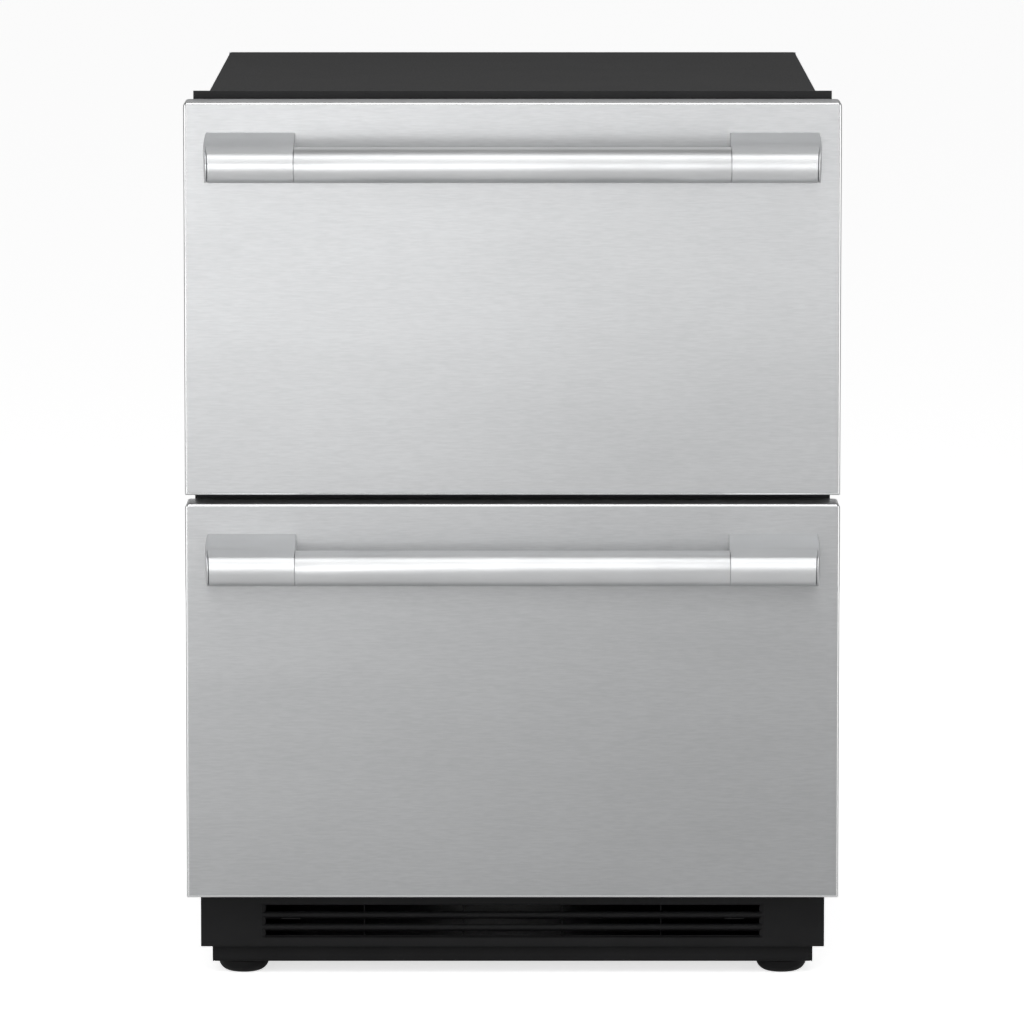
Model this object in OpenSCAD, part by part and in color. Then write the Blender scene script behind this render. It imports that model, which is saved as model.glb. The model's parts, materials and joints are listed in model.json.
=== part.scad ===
// Undercounter refrigerator with two drawers, 24 inch class.
// X runs to the right, Y into the cabinet and Z up.
// The origin is on the floor, under the middle of the whole.

/* [Drawer fronts] */
// Width of both drawer fronts
front_w = 606; // [595:1:640]
// Height of the upper front
upper_front_h = 364; // [350:1:400]
// Height of the lower front
lower_front_h = 369; // [355:1:400]
// Depth of a front, from its face to the edge of its side returns
front_d = 42; // [38:1:55]
// Gap between the two fronts
front_gap = 8; // [5:1:12]
// Steel thickness of a front's skin
skin_t = 1; // [0.8:0.1:2]
// Outer radius of the skin's folds
skin_r = 3; // [2.5:0.5:5]
// Thickness of a front's inner panel
panel_t = 2.5; // [2:0.5:4]
// Depth of the plug that enters the cabinet's opening
plug_d = 14; // [8:1:20]
// Clearance round the plug
plug_gap = 6; // [4:1:10]

/* [Handles] */
// Diameter of the handle's bar
bar_dia = 33; // [28:0.5:36]
// Wall of the bar's tube
bar_wall = 2; // [1.5:0.5:3]
// Distance of the handle's ends from the front's side edges
handle_inset = 16; // [10:1:36]
// Distance of the bar's axis in front of the face
bar_out = 45; // [42:1:60]
// Distance of the bar's axis below the front's top edge
bar_drop = 54.5; // [50:0.5:70]
// Length of an end bracket, up to its domed end
bracket_l = 84; // [60:1:88]
// Height of the bracket's top edge above the bar's axis, at the face
bracket_rise = 26.5; // [22:0.5:32]
// Bulge of the bracket's domed end
dome_h = 3; // [2:0.5:5]
// Length of the bracket's spigot inside the bar
spigot_l = 20; // [12:1:30]

/* [Cabinet] */
// Width of the cabinet behind its flange
cab_w = 563; // [555:1:575]
// Depth from the fronts' faces to the cabinet's back
case_d = 607; // [600:1:630]
// Height of the cabinet's top above the upper front
top_rise = 7; // [4:1:12]
// Steel thickness of the wrap, the rear panels and the bulkhead
sheet_t = 1; // [0.8:0.1:1.5]
// Gap between a front's returns and the face frame, filled by the gasket
seal_gap = 8; // [6:1:10]
// How far the face frame's screw flanges stand out from the cabinet's sides
flange_reach = 14; // [12:1:18]
// Thickness of the face frame
frame_t = 2; // [1.5:0.5:3]
// Radius of the screw holes in the flanges
flange_hole_r = 2.5; // [2:0.25:3]
// Height between the flanges' upper and lower screw holes
flange_hole_span = 540; // [400:10:600]
// Width of the opening and of the space inside the liner
open_w = 487; // [475:1:495]
// Insulation between the cabinet's top and the liner's ceiling, liner included
top_t = 40; // [32:1:50]
// Height of the mullion between the two openings
mullion_h = 40; // [38:1:50]
// Depth of the mullion's rail
mullion_d = 60; // [40:1:80]
// Height of the lower opening's sill above the lower front's bottom edge
sill_h = 30; // [24:1:40]
// Wall of the inner liner
liner_t = 2; // [1.5:0.5:3]
// Radius of the liner's inner edges
liner_r = 6; // [4:0.5:7]
// Insulation behind the liner, liner included
back_t = 41; // [35:1:45]
// Insulation under the floor and round the machine bay
floor_t = 30; // [25:1:35]

/* [Base] */
// Height of the base's underside above the floor
foot_gap = 13; // [10:1:25]
// Height from the base's underside to the lower front's bottom edge
base_h = 71; // [68:1:90]
// Steel thickness of the base pan
base_t = 2; // [1.5:0.5:3]
// Height of the base pan's front lip
lip_h = 32; // [24:1:40]
// How far the kick plate's ends stand in from the flanges' edges
kick_inset = 3.5; // [0:0.5:8]
// Depth of the kick plate
kick_d = 10; // [9:1:14]
// Height of the kick plate's lower edge above the base's underside
kick_low = 16; // [10:1:18]
// Gap between the kick plate and the lower front
kick_gap = 2; // [1:0.5:4]
// Wall of the kick plate
kick_t = 2.5; // [2:0.5:3]
// Width of the louvred window
louvre_w = 463.4; // [400:0.2:500]
// Height of a louvre's air slot
slot_h = 6.1; // [5:0.1:7]
// Height of a louvre's slat
slat_h = 5.7; // [4:0.1:7]
// Height of the louvred window's lower edge above the kick plate's
louvre_low = 9.4; // [6:0.2:12]
// Number of air slots
slots = 3; // [2:1:3]

/* [Feet] */
// Diameter of a foot's pad
pad_dia = 47; // [40:1:52]
// Radius of the flat that a foot stands on
pad_flat_r = 11; // [8:1:15]
// Radius of a foot's stem
stem_r = 5; // [4:0.5:6]
// Length of a foot's stem above its pad
stem_l = 46; // [40:1:50]
// Clearance between a stem and its boss
stem_gap = 0.3; // [0.3:0.1:0.6]
// Height of the boss on the base pan
boss_h = 14; // [10:1:20]
// Distance of the feet's axes from the cabinet's sides
foot_inset = 28.5; // [24.5:0.5:36.5]
// Distance of the front feet behind the fronts' faces
foot_front_d = 90; // [88:1:120]
// Distance of the rear feet from the cabinet's back
foot_back_d = 60; // [45:1:70]

/* [Machine bay] */
// Inside depth of the machine bay
bay_d = 211; // [205:1:220]
// Height of the machine bay above the base pan's floor
bay_h = 225; // [215:1:235]
// Radius of the compressor's shell
comp_r = 66; // [55:1:72]
// Height of the compressor's shell
comp_h = 150; // [120:1:165]
// Height of the refrigerant ports on the compressor's shell
port_rise = 92; // [80:1:100]
// Width of the condenser
cond_w = 120; // [100:1:130]
// Number of the condenser's fins
cond_fins = 18; // [8:1:20]
// Radius of the condenser fan's blade
cond_fan_r = 62; // [50:1:66]
// Clearance between a fan blade and its ring
fan_gap = 3; // [2:0.5:6]
// Radius of the refrigerant lines
line_r = 3; // [2.5:0.5:4]

/* [Cold side] */
// Depth of the space behind the evaporator's cover
evap_d = 48; // [45:1:55]
// Width of the evaporator
evap_w = 360; // [300:5:400]
// Number of the evaporator's fins
evap_fins = 24; // [12:1:30]
// Radius of the evaporator fan's blade
evap_fan_r = 42; // [36:1:46]
// Radius of the drain tube
drain_r = 5; // [4:0.5:6]

/* [Drawers] */
// Clearance between the slides' rear ends and the evaporator's cover
rail_clear = 11; // [8:1:20]
// Width of a telescopic slide's section
rail_w = 12.7; // [12.7:0.1:14]
// Height of a telescopic slide's outer member
rail_h = 45; // [42:1:50]
// Steel thickness of the slides
rail_t = 1.4; // [1.2:0.1:1.6]
// Steel thickness of the bin's carrier
carrier_t = 2; // [1.5:0.5:2]
// Height of the carrier's side plates
carrier_h = 56; // [52:1:60]
// Wall of the bins
bin_t = 2.5; // [2:0.5:3]
// Corner radius of the bins
bin_r = 14; // [8:1:20]
// Radius of the bins' lower edges
bin_floor_r = 8; // [5:1:10]
// Gap between a bin's rim and the ceiling above it
bin_head = 30; // [28:1:40]
// Gap under a bin
bin_foot = 8; // [6:1:12]
// Sideways clearance between a bin and its carrier
bin_gap = 1; // [0.5:0.5:2]

/* [Hidden] */
$fn = 48;

cut = 1; // how far a cutting solid runs past the face that it opens
touch_gap = 0.3; // air between faces of pieces that move past each other

// Heights above the floor
base_top = foot_gap + base_t;
lower_z = foot_gap + base_h;
upper_z = lower_z + lower_front_h + front_gap;
top_z = upper_z + upper_front_h + top_rise;
mullion_z = upper_z - front_gap / 2 - mullion_h / 2;
sill_z = lower_z + sill_h;
ceiling_z = top_z - top_t;
insul_z = sill_z - floor_t;
bay_top = base_top + bay_h;
hump_z = bay_top + floor_t;
lower_open = [sill_z, mullion_z];
upper_open = [mullion_z + mullion_h, ceiling_z];
kick_z = foot_gap + kick_low;
kick_top = lower_z - kick_gap;

// Depths behind the fronts' faces
handle_reach = bar_out + bar_dia / 2;
face_y = (handle_reach - case_d) / 2;
frame_y = front_d + seal_gap;
wrap_y = frame_y + frame_t;
toe_y = frame_y + kick_d + base_t;
back_y = case_d - sheet_t;
bay_y = back_y - bay_d;
liner_y = back_y - back_t;
hump_y = bay_y - floor_t;
cover_y = liner_y - evap_d;
plug_y = front_d + plug_d;

// Widths
flange_w = cab_w + 2 * flange_reach;
kick_w = flange_w - 2 * kick_inset;
bar_l = front_w - 2 * (handle_inset + bracket_l + dome_h);
foot_x = cab_w / 2 - foot_inset;

// Widths from the middle
wrap_x = cab_w / 2 - sheet_t;
open_x = open_w / 2;
rail_x = open_x - rail_w;
plate_x = rail_x - carrier_t;
bin_x = plate_x - bin_gap;

// Corner radii of the openings, of the fronts' plugs and of the gaskets
open_r = 4;
plug_r = 10;
seal_r = 8;

// Gasket: a foot, and a narrower bellows that stands in by a step on both sides
seal_w = 12;
seal_inset = 1;
seal_foot_t = 3;
seal_step = 2;

// Slides and bins
rail_front_gap = 2;
rail_y = plug_y + rail_front_gap;
rail_l = cover_y - rail_clear - rail_y;
outer_short = 2.5;
mid_inset = 3.2;
mid_short = 4.5;
mid_drop = 9;
inner_inset = 7;
inner_drop = 22;
inner_web_t = 1.2;
mid_h = rail_h - mid_drop;
inner_h = rail_h - inner_drop;
bin_front_gap = 8;
bin_back_gap = 12;
bin_y = [plug_y + bin_front_gap, rail_y + rail_l - bin_back_gap];
rim_t = 3;
rim_lip = 3;
bin_step_gap = 12;

// Centres of the machines
fan_rise = 102;
fan_z = base_top + fan_rise;
comp_x = 112;
shroud_x = -95;
bay_mid_y = bay_y + bay_d / 2;
evap_fan_rise = 90;
evap_fan_z = hump_z + evap_fan_rise;
drain_side = 13;
drain_x = shroud_x - cond_w - drain_side;
suction_x = 205;
evap_t = 32;
well_y = liner_y - evap_t / 2; // the drain and the suction line stand in the plane of the evaporator's tubes

module at_face() {
    translate([0, face_y, 0]) children();
}

module slab(x, y, z) {
    translate([x[0], y[0], z[0]]) cube([x[1] - x[0], y[1] - y[0], z[1] - z[0]]);
}

module both_sides() {
    children();
    mirror([1, 0, 0]) children();
}

// Extrudes a side view, drawn as depth and height, across x
module side_view(x, points) {
    translate([x[0], 0, 0]) rotate([90, 0, 90]) linear_extrude(x[1] - x[0]) polygon(points);
}

// Extrudes a front view, drawn as x and height, over the depths y
module front_view(y, points) {
    translate([0, y[1], 0]) rotate([90, 0, 0]) linear_extrude(y[1] - y[0]) polygon(points);
}

// Points of a rectangle from a to b whose corners are rounded in flat steps
function round_rect(a, b, r, steps = 4) = [
    for (c = [
        [b.x - r, b.y - r, 0], [a.x + r, b.y - r, 90], [a.x + r, a.y + r, 180], [b.x - r, a.y + r, 270]
    ])
        for (i = [0 : steps])
            [c.x + r * cos(c.z + 90 * i / steps), c.y + r * sin(c.z + 90 * i / steps)]
];

// Points of an arc about a centre, from one angle to the other
function arc(centre, r, from, to, steps) = [
    for (i = [0 : steps])
        let (a = from + (to - from) * i / steps) [centre.x + r * cos(a), centre.y + r * sin(a)]
];

// ---- Cabinet ----

module outer_wrap() {
    outside = [
        [wrap_y, lower_z], [toe_y, lower_z], [toe_y, foot_gap], [back_y, foot_gap], [back_y, top_z],
        [wrap_y, top_z]
    ];
    color("#2b2b2b") at_face() difference() {
        side_view([-cab_w / 2, cab_w / 2], outside);
        slab([-wrap_x, wrap_x], [0, case_d], [foot_gap - cut, top_z - sheet_t]);
    }
}

module face_frame() {
    half = flange_w / 2;
    hole_x = (half + cab_w / 2) / 2;
    middle_z = (lower_z + top_z) / 2;
    color("#262626") at_face() difference() {
        slab([-half, half], [frame_y, wrap_y], [lower_z, top_z]);
        for (open = [lower_open, upper_open])
            front_view(
                [frame_y - cut, wrap_y + cut], round_rect([-open_x, open[0]], [open_x, open[1]], open_r)
            );
        for (side = [-1, 1], level = [-1, 1])
            translate([side * hole_x, frame_y - cut, middle_z + level * flange_hole_span / 2])
                rotate([-90, 0, 0]) cylinder(r = flange_hole_r, h = frame_t + 2 * cut);
    }
}

mullion_edge_r = 6;

module mullion_rail() {
    z = [mullion_z, mullion_z + mullion_h];
    y = [wrap_y, wrap_y + mullion_d];
    color("#d9dadb") at_face() side_view([-open_x, open_x], concat(
        [[y[0], z[0]]],
        arc([y[1] - mullion_edge_r, z[0] + mullion_edge_r], mullion_edge_r, -90, 0, 4),
        arc([y[1] - mullion_edge_r, z[1] - mullion_edge_r], mullion_edge_r, 0, 90, 4),
        [[y[0], z[1]]]
    ));
}

// Side view of the cold space, grown outwards by o, with rounded inner edges
function cold_space(o, front) = concat(
    [[front, sill_z - o]],
    arc([hump_y - liner_r, sill_z + liner_r], liner_r + o, -90, 0, 4),
    arc([hump_y + liner_r, hump_z - liner_r], liner_r - o, 180, 90, 4),
    arc([liner_y - liner_r, hump_z + liner_r], liner_r + o, -90, 0, 4),
    arc([liner_y - liner_r, ceiling_z - liner_r], liner_r + o, 0, 90, 4),
    [[front, ceiling_z + o]]
);

// Side view of the space over the base and the machine bay, grown downwards and backwards by o
function insulated_space(o) = [
    [wrap_y, insul_z - o], [bay_y - o, insul_z - o], [bay_y - o, bay_top - o], [back_y, bay_top - o],
    [back_y, top_z - sheet_t], [wrap_y, top_z - sheet_t]
];

module suction_hole(clearance) {
    translate([suction_x, well_y, bay_top - 2 * sheet_t])
        cylinder(r = line_r + clearance, h = hump_z - bay_top + 4 * sheet_t);
}

module drain_hole(clearance) {
    translate([drain_x, well_y, bay_top - 2 * sheet_t])
        cylinder(r = drain_r + clearance, h = hump_z - bay_top + 4 * sheet_t);
}

module inner_liner() {
    color("#e4e6e7") at_face() difference() {
        side_view([-open_x - liner_t, open_x + liner_t], cold_space(liner_t, wrap_y));
        side_view([-open_x, open_x], cold_space(0, wrap_y - cut));
        suction_hole(touch_gap);
        drain_hole(touch_gap);
    }
}

module foam_insulation() {
    color("#e8dcae") at_face() difference() {
        side_view([-wrap_x, wrap_x], insulated_space(0));
        side_view([-open_x - liner_t, open_x + liner_t], cold_space(liner_t, wrap_y - cut));
        suction_hole(touch_gap);
        drain_hole(touch_gap);
    }
}

// Bent sheet under the insulation, which makes the roof of the base and of the machine bay
module machine_bulkhead() {
    bend = [
        [toe_y, insul_z], [bay_y, insul_z], [bay_y, bay_top], [back_y, bay_top],
        [back_y, bay_top - sheet_t], [bay_y + sheet_t, bay_top - sheet_t],
        [bay_y + sheet_t, insul_z - sheet_t], [toe_y, insul_z - sheet_t]
    ];
    color("#9a9c9e") at_face() difference() {
        side_view([-wrap_x, wrap_x], bend);
        suction_hole(touch_gap);
        drain_hole(touch_gap);
    }
}

// Ribs pressed into the rear panel
rib_w = 300;
rib_h = 10;
rib_pitch = 140;
rib_first = 120;

module rear_panel() {
    ribs = 3;
    color("#a2a4a6") at_face() difference() {
        slab([-cab_w / 2, cab_w / 2], [back_y, case_d], [bay_top, top_z]);
        for (i = [0 : ribs - 1])
            translate([0, 0, bay_top + rib_first + rib_pitch * i])
                slab([-rib_w / 2, rib_w / 2], [case_d - sheet_t / 2, case_d + cut], [0, rib_h]);
    }
}

// Air slots of the rear cover
vent_w = 56;
vent_h = 6;
vent_x = -210;
vent_column_pitch = 70;
vent_low = 50;
vent_row_pitch = 15;

module rear_cover() {
    columns = 5;
    rows = 9;
    color("#8e9092") at_face() difference() {
        slab([-cab_w / 2, cab_w / 2], [back_y, case_d], [foot_gap, bay_top]);
        for (column = [0 : columns - 1], row = [0 : rows - 1])
            translate([vent_x + column * vent_column_pitch, 0, base_top + vent_low + row * vent_row_pitch])
                slab([0, vent_w], [back_y - cut, case_d + cut], [0, vent_h]);
        translate([gland_x, back_y - cut, gland_z]) rotate([-90, 0, 0])
            cylinder(r = gland_r, h = sheet_t + 2 * cut);
    }
}

// ---- Base ----

lip_r = 3;
boss_wall = 4;

module base_pan() {
    hole_r = stem_r + stem_gap;
    half = cab_w / 2;
    lip = concat(
        arc([half - lip_r, foot_gap + lip_r], lip_r, -90, 0, 4),
        [[half, foot_gap + lip_h], [-half, foot_gap + lip_h]],
        arc([-half + lip_r, foot_gap + lip_r], lip_r, 180, 270, 4)
    );
    color("#232323") at_face() difference() {
        union() {
            slab([-wrap_x, wrap_x], [toe_y - base_t / 2, back_y], [foot_gap, base_top]);
            front_view([toe_y - base_t, toe_y], lip);
            for (p = foot_places)
                translate([p.x, p.y, base_top - base_t / 2]) cylinder(r = stem_r + boss_wall, h = boss_h);
        }
        for (p = foot_places)
            translate([p.x, p.y, foot_gap - cut]) cylinder(r = hole_r, h = boss_h + base_t + 2 * cut);
    }
}

foot_places = [
    [-foot_x, foot_front_d], [foot_x, foot_front_d],
    [-foot_x, case_d - foot_back_d], [foot_x, case_d - foot_back_d]
];

pad_gap = 1; // air between a pad and the base pan
pad_rim = 1; // straight rim above a pad's bowl
stem_tip = 1; // chamfer of a stem's tip

module foot(i) {
    pad_h = foot_gap - pad_gap;
    stem_top = pad_h + stem_l;
    color("#242424") at_face() translate([foot_places[i].x, foot_places[i].y, 0]) rotate_extrude()
        polygon(concat(
            [[0, 0]],
            [
                for (a = [0 : 15 : 90])
                    [pad_flat_r + (pad_dia / 2 - pad_flat_r) * sin(a), (pad_h - pad_rim) * (1 - cos(a))]
            ],
            [[pad_dia / 2, pad_h], [stem_r, pad_h], [stem_r, stem_top - stem_tip]],
            [[stem_r - stem_tip, stem_top], [0, stem_top]]
        ));
}

slat_back = 1; // distance of a slat's rear edge from the kick plate's
slat_fall = 2.5; // fall of a slat's rear edge below its nose
slat_edge_t = 2; // thickness of that edge
louvre_rib_t = 1.5; // thickness of the ribs behind the slats
louvre_rib_back = 0.5;
tab_w = 17;
tab_inset = 15; // distance of the clip tabs from the window's ends
tab_t = 1;
tab_lower = 0.4; // how far the tabs lie under the second slat

// One slat: a rounded nose at the front and a blade that falls away backwards
module slat(z) {
    nose = slat_h / 2;
    x = louvre_w / 2 + cut;
    back = frame_y + kick_d - slat_back;
    side_view([-x, x], concat(
        arc([frame_y + nose, z + nose], nose, 90, 250, 6),
        [[back, z - slat_fall], [back, z - slat_fall + slat_edge_t]]
    ));
}

module kick_plate() {
    half = kick_w / 2;
    pitch = slot_h + slat_h;
    window_z = [kick_z + louvre_low, kick_z + louvre_low + slots * slot_h + (slots - 1) * slat_h];
    window_x = louvre_w / 2;
    tab_x = [window_x - tab_inset - tab_w, window_x - tab_inset];
    tab_top = window_z[0] + pitch + slot_h - tab_lower;
    ribs = 5;
    color("#272727") at_face() union() {
        difference() {
            slab([-half, half], [frame_y, frame_y + kick_d], [kick_z, kick_top]);
            slab(
                [-half + kick_t, half - kick_t], [frame_y + kick_t, frame_y + kick_d + cut],
                [kick_z + kick_t, kick_top - kick_t]
            );
            slab([-window_x, window_x], [frame_y - cut, frame_y + kick_d], window_z);
        }
        for (i = [1 : slots - 1])
            slat(window_z[0] + i * pitch - slat_h);
        for (i = [0 : ribs])
            translate([-window_x * (1 - 2 * i / ribs), 0, 0])
                slab(
                    [-louvre_rib_t / 2, louvre_rib_t / 2],
                    [frame_y + kick_t + tab_t, frame_y + kick_d - louvre_rib_back],
                    [kick_z + kick_t / 2, kick_top - kick_t / 2]
                );
        both_sides()
            slab(tab_x, [frame_y + 2 * tab_t, frame_y + kick_d - slat_back], [tab_top - tab_t, tab_top]);
    }
}

// ---- Machine bay ----

mount_h = 12;
mount_r = 9;
mount_waist = 2;
mount_span = 52;
comp_plate_t = 3;
comp_plate_edge = 12;
comp_seam = 3; // reach and height of the seam round the shell
comp_foot_h = 14; // height of the shell's rounded bottom
comp_dome_h = 30;
port_l = 6;
port_wall = 1;
port_x = -20;
relay_reach = 16;
relay_w = 44;
relay_h = 52;
relay_rise = 40;

module compressor() {
    foot_z = base_top + mount_h;
    shell_z = foot_z + comp_plate_t;
    plate = mount_span + comp_plate_edge;
    port_r = line_r + port_wall;
    color("#1c1c1d") at_face() translate([comp_x, bay_mid_y, 0]) union() {
        translate([0, 0, shell_z]) rotate_extrude() polygon(concat(
            [[0, 0]],
            [for (a = [0 : 15 : 90]) [comp_r / 2 * (1 + sin(a)), comp_foot_h * (1 - cos(a))]],
            [[comp_r, comp_h / 2 - comp_seam], [comp_r + comp_seam, comp_h / 2 - comp_seam]],
            [[comp_r + comp_seam, comp_h / 2], [comp_r, comp_h / 2]],
            [for (a = [0 : 15 : 90]) [comp_r * cos(a), comp_h - comp_dome_h * (1 - sin(a))]]
        ));
        slab([-plate, plate], [-plate, plate], [foot_z, shell_z + cut]);
        translate([0, 0, shell_z + relay_rise])
            slab([-comp_r - relay_reach, -comp_r / 2], [-relay_w / 2, relay_w / 2], [0, relay_h]);
        translate([port_x, 0, shell_z + port_rise]) rotate([90, 0, 0])
            cylinder(r = port_r, h = comp_r + port_l);
        translate([0, 0, shell_z + port_rise]) rotate([0, 90, 0]) cylinder(r = port_r, h = comp_r + port_l);
    }
}

module compressor_mounts() {
    color("#151515") at_face() for (sx = [-1, 1], sy = [-1, 1])
        translate([comp_x + sx * mount_span, bay_mid_y + sy * mount_span, base_top]) rotate_extrude()
            polygon([
                [0, 0], [mount_r, 0], [mount_r, mount_h / 3], [mount_r - mount_waist, mount_h / 3 + 1],
                [mount_r - mount_waist, mount_h * 2 / 3 - 1], [mount_r, mount_h * 2 / 3], [mount_r, mount_h],
                [0, mount_h]
            ]);
}

fin_t = 1;
cond_end = 22; // distance of the condenser from the bay's front and back
cond_lift = 18; // its height above the base pan, over the drip tray
cond_over = 12; // its height above the fan's ring
cond_tube_first = 18;
cond_tube_rise = 30;
cond_tube_y = 40;
cond_tube_pitch = 80;
cond_x = [shroud_x - cond_w, shroud_x];
cond_y = [bay_y + cond_end, back_y - cond_end];
cond_z = [base_top + cond_lift, fan_z + cond_fan_r + fan_gap + cond_over];

module condenser() {
    rows = 5;
    pitch = (cond_w - fin_t) / (cond_fins - 1);
    color("#8d9194") at_face() union() {
        for (i = [0 : cond_fins - 1])
            slab([cond_x[0] + i * pitch, cond_x[0] + i * pitch + fin_t], cond_y, cond_z);
        for (row = [0 : rows - 1], column = [0 : 1])
            translate([
                cond_x[0], cond_y[0] + cond_tube_y + cond_tube_pitch * column,
                cond_z[0] + cond_tube_first + cond_tube_rise * row
            ])
                rotate([0, 90, 0]) cylinder(r = line_r, h = cond_w);
    }
}

shroud_t = 2;
shroud_d = 22;
shroud_end = 10;
shroud_over = 14;

module condenser_fan_shroud() {
    plate_y = [bay_y + shroud_end, back_y - shroud_end];
    ring_r = cond_fan_r + fan_gap;
    color("#2d2e30") at_face() difference() {
        union() {
            slab([shroud_x, shroud_x + shroud_t], plate_y, [base_top, fan_z + ring_r + shroud_over]);
            slab([shroud_x, shroud_x + shroud_d], plate_y, [base_top, base_top + shroud_t]);
            translate([shroud_x, bay_mid_y, fan_z]) rotate([0, 90, 0])
                cylinder(r = ring_r + shroud_t, h = shroud_d);
        }
        translate([shroud_x - cut, bay_mid_y, fan_z]) rotate([0, 90, 0])
            cylinder(r = ring_r, h = shroud_d + 2 * cut);
    }
}

// A motor on its side, held by a foot on the base: the fan turns on its shaft
motor_r = 17;
motor_l = 36;
shaft_r = 2;
shaft_gap = 0.1;
shaft_in = 2; // how far a shaft's tip lies inside its fan's hub
blade_in = 3; // how far a fan's blade lies inside its ring
cond_hub_r = 14;
cond_blade_w = 18;
cond_motor_gap = 4; // air between the fan and its motor
motor_foot_w = 36;
motor_foot_l = 30;
motor_leg_w = 24;
motor_leg_t = 4;
blade_x = shroud_x + blade_in;

module condenser_fan_motor() {
    body_x = [blade_x + cond_blade_w + cond_motor_gap, blade_x + cond_blade_w + cond_motor_gap + motor_l];
    leg_x = [body_x[0] + motor_leg_t * 2, body_x[0] + motor_leg_t * 3];
    color("#3a3b3d") at_face() translate([0, bay_mid_y, 0]) union() {
        translate([body_x[0], 0, fan_z]) rotate([0, 90, 0]) cylinder(r = motor_r, h = body_x[1] - body_x[0]);
        translate([blade_x + shaft_in, 0, fan_z]) rotate([0, 90, 0])
            cylinder(r = shaft_r, h = cond_blade_w + cond_motor_gap);
        slab(leg_x, [-motor_leg_w / 2, motor_leg_w / 2], [base_top, fan_z - motor_r / 2]);
        slab(
            [body_x[0], body_x[0] + motor_foot_l], [-motor_foot_w / 2, motor_foot_w / 2],
            [base_top, base_top + base_t]
        );
    }
}

fan_blade_t = 1.6;
fan_pitch_angle = 32;

// Axial fan about the x axis: a hub with a shaft bore and pitched blades, trimmed to its radius
module fan(r, hub_r, width, blades) {
    difference() {
        union() {
            rotate([0, 90, 0]) cylinder(r = hub_r, h = width);
            intersection() {
                rotate([0, 90, 0]) cylinder(r = r, h = width);
                for (i = [0 : blades - 1])
                    rotate([i * 360 / blades, 0, 0]) translate([width / 2, 0, hub_r - cut])
                        rotate([0, 0, fan_pitch_angle]) translate([-width, -fan_blade_t / 2, 0])
                            cube([2 * width, fan_blade_t, r]);
            }
        }
        translate([-cut, 0, 0]) rotate([0, 90, 0]) cylinder(r = shaft_r + shaft_gap, h = width + 2 * cut);
    }
}

module condenser_fan_blade() {
    color("#5a5c60") at_face() translate([blade_x, bay_mid_y, fan_z])
        fan(cond_fan_r, cond_hub_r, cond_blade_w, 5);
}

tray_h = 14;
tray_t = 2;
tray_side = 24;
tray_end = 16;
tray_gap = 4;

module drip_tray() {
    x = [cond_x[0] - tray_side, shroud_x - tray_gap];
    y = [bay_y + tray_end, back_y - tray_end];
    z = [base_top, base_top + tray_h];
    color("#2a2a2b") at_face() difference() {
        slab(x, y, z);
        slab([x[0] + tray_t, x[1] - tray_t], [y[0] + tray_t, y[1] - tray_t], [z[0] + tray_t, z[1] + cut]);
    }
}

drain_wall = 1.5;
drain_collar = 4;
drain_collar_h = 2;
drain_end = 8;

module drain_tube() {
    z = [base_top + drain_end, hump_z];
    color("#d5d7d8") at_face() difference() {
        union() {
            translate([drain_x, well_y, z[0]]) cylinder(r = drain_r, h = z[1] - z[0]);
            translate([drain_x, well_y, z[1]]) cylinder(r = drain_r + drain_collar, h = drain_collar_h);
        }
        translate([drain_x, well_y, z[0] - cut])
            cylinder(r = drain_r - drain_wall, h = z[1] - z[0] + drain_collar_h + 2 * cut);
    }
}

braze = 0.4; // how far a brazed joint stands out from its pipe

// Pipe along straight runs, with a brazed ball where two runs meet
module pipe(points, r) {
    for (i = [0 : len(points) - 2])
        let (run = points[i + 1] - points[i], l = norm(run))
            translate(points[i])
                rotate([0, acos(run.z / l), atan2(run.y, run.x)]) cylinder(r = r, h = l, $fn = 24);
    for (i = [1 : len(points) - 2])
        translate(points[i]) sphere(r = r + braze, $fn = 24);
}

line_off = 14; // distance of the lines from the compressor's shell and above the condenser
line_down_x = 30; // distance of the line's drop from the condenser's end
drier_r = 9;
drier_side = 40; // distance of the drier from the fan shroud
drier_end = 10;

module refrigerant_lines() {
    port_z = base_top + mount_h + comp_plate_t + port_rise;
    front = bay_mid_y - comp_r - line_off;
    high = cond_z[1] + line_off;
    drier_x = shroud_x + drier_side;
    drop = [cond_x[0] + line_down_x, cond_y[0] + cond_tube_y];
    color("#b06a3b") at_face() union() {
        pipe([
            [comp_x + port_x, bay_mid_y - comp_r - port_l, port_z], [comp_x + port_x, front, port_z],
            [drier_x, front, port_z], [drier_x, front, high], [drop.x, front, high], [drop.x, drop.y, high],
            [drop.x, drop.y, cond_z[1]]
        ], line_r);
        pipe([
            [comp_x + comp_r + port_l, bay_mid_y, port_z], [suction_x, bay_mid_y, port_z],
            [suction_x, well_y, port_z], [suction_x, well_y, evap_z[0] + evap_tube_first],
            [evap_w / 2, well_y, evap_z[0] + evap_tube_first]
        ], line_r);
        translate([drier_x, front, port_z + drier_end])
            cylinder(r = drier_r, h = high - port_z - 2 * drier_end);
    }
}

// ---- Cold side ----

evap_low = 34; // distance of the evaporator's lower edge above the fan
evap_high = 24; // distance of its upper edge below the liner's ceiling
evap_tube_r = 4;
evap_tube_first = 24;
evap_tube_rise = 40;
evap_y = [liner_y - evap_t, liner_y];
evap_z = [evap_fan_z + evap_fan_r + evap_low, ceiling_z - evap_high];

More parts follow.
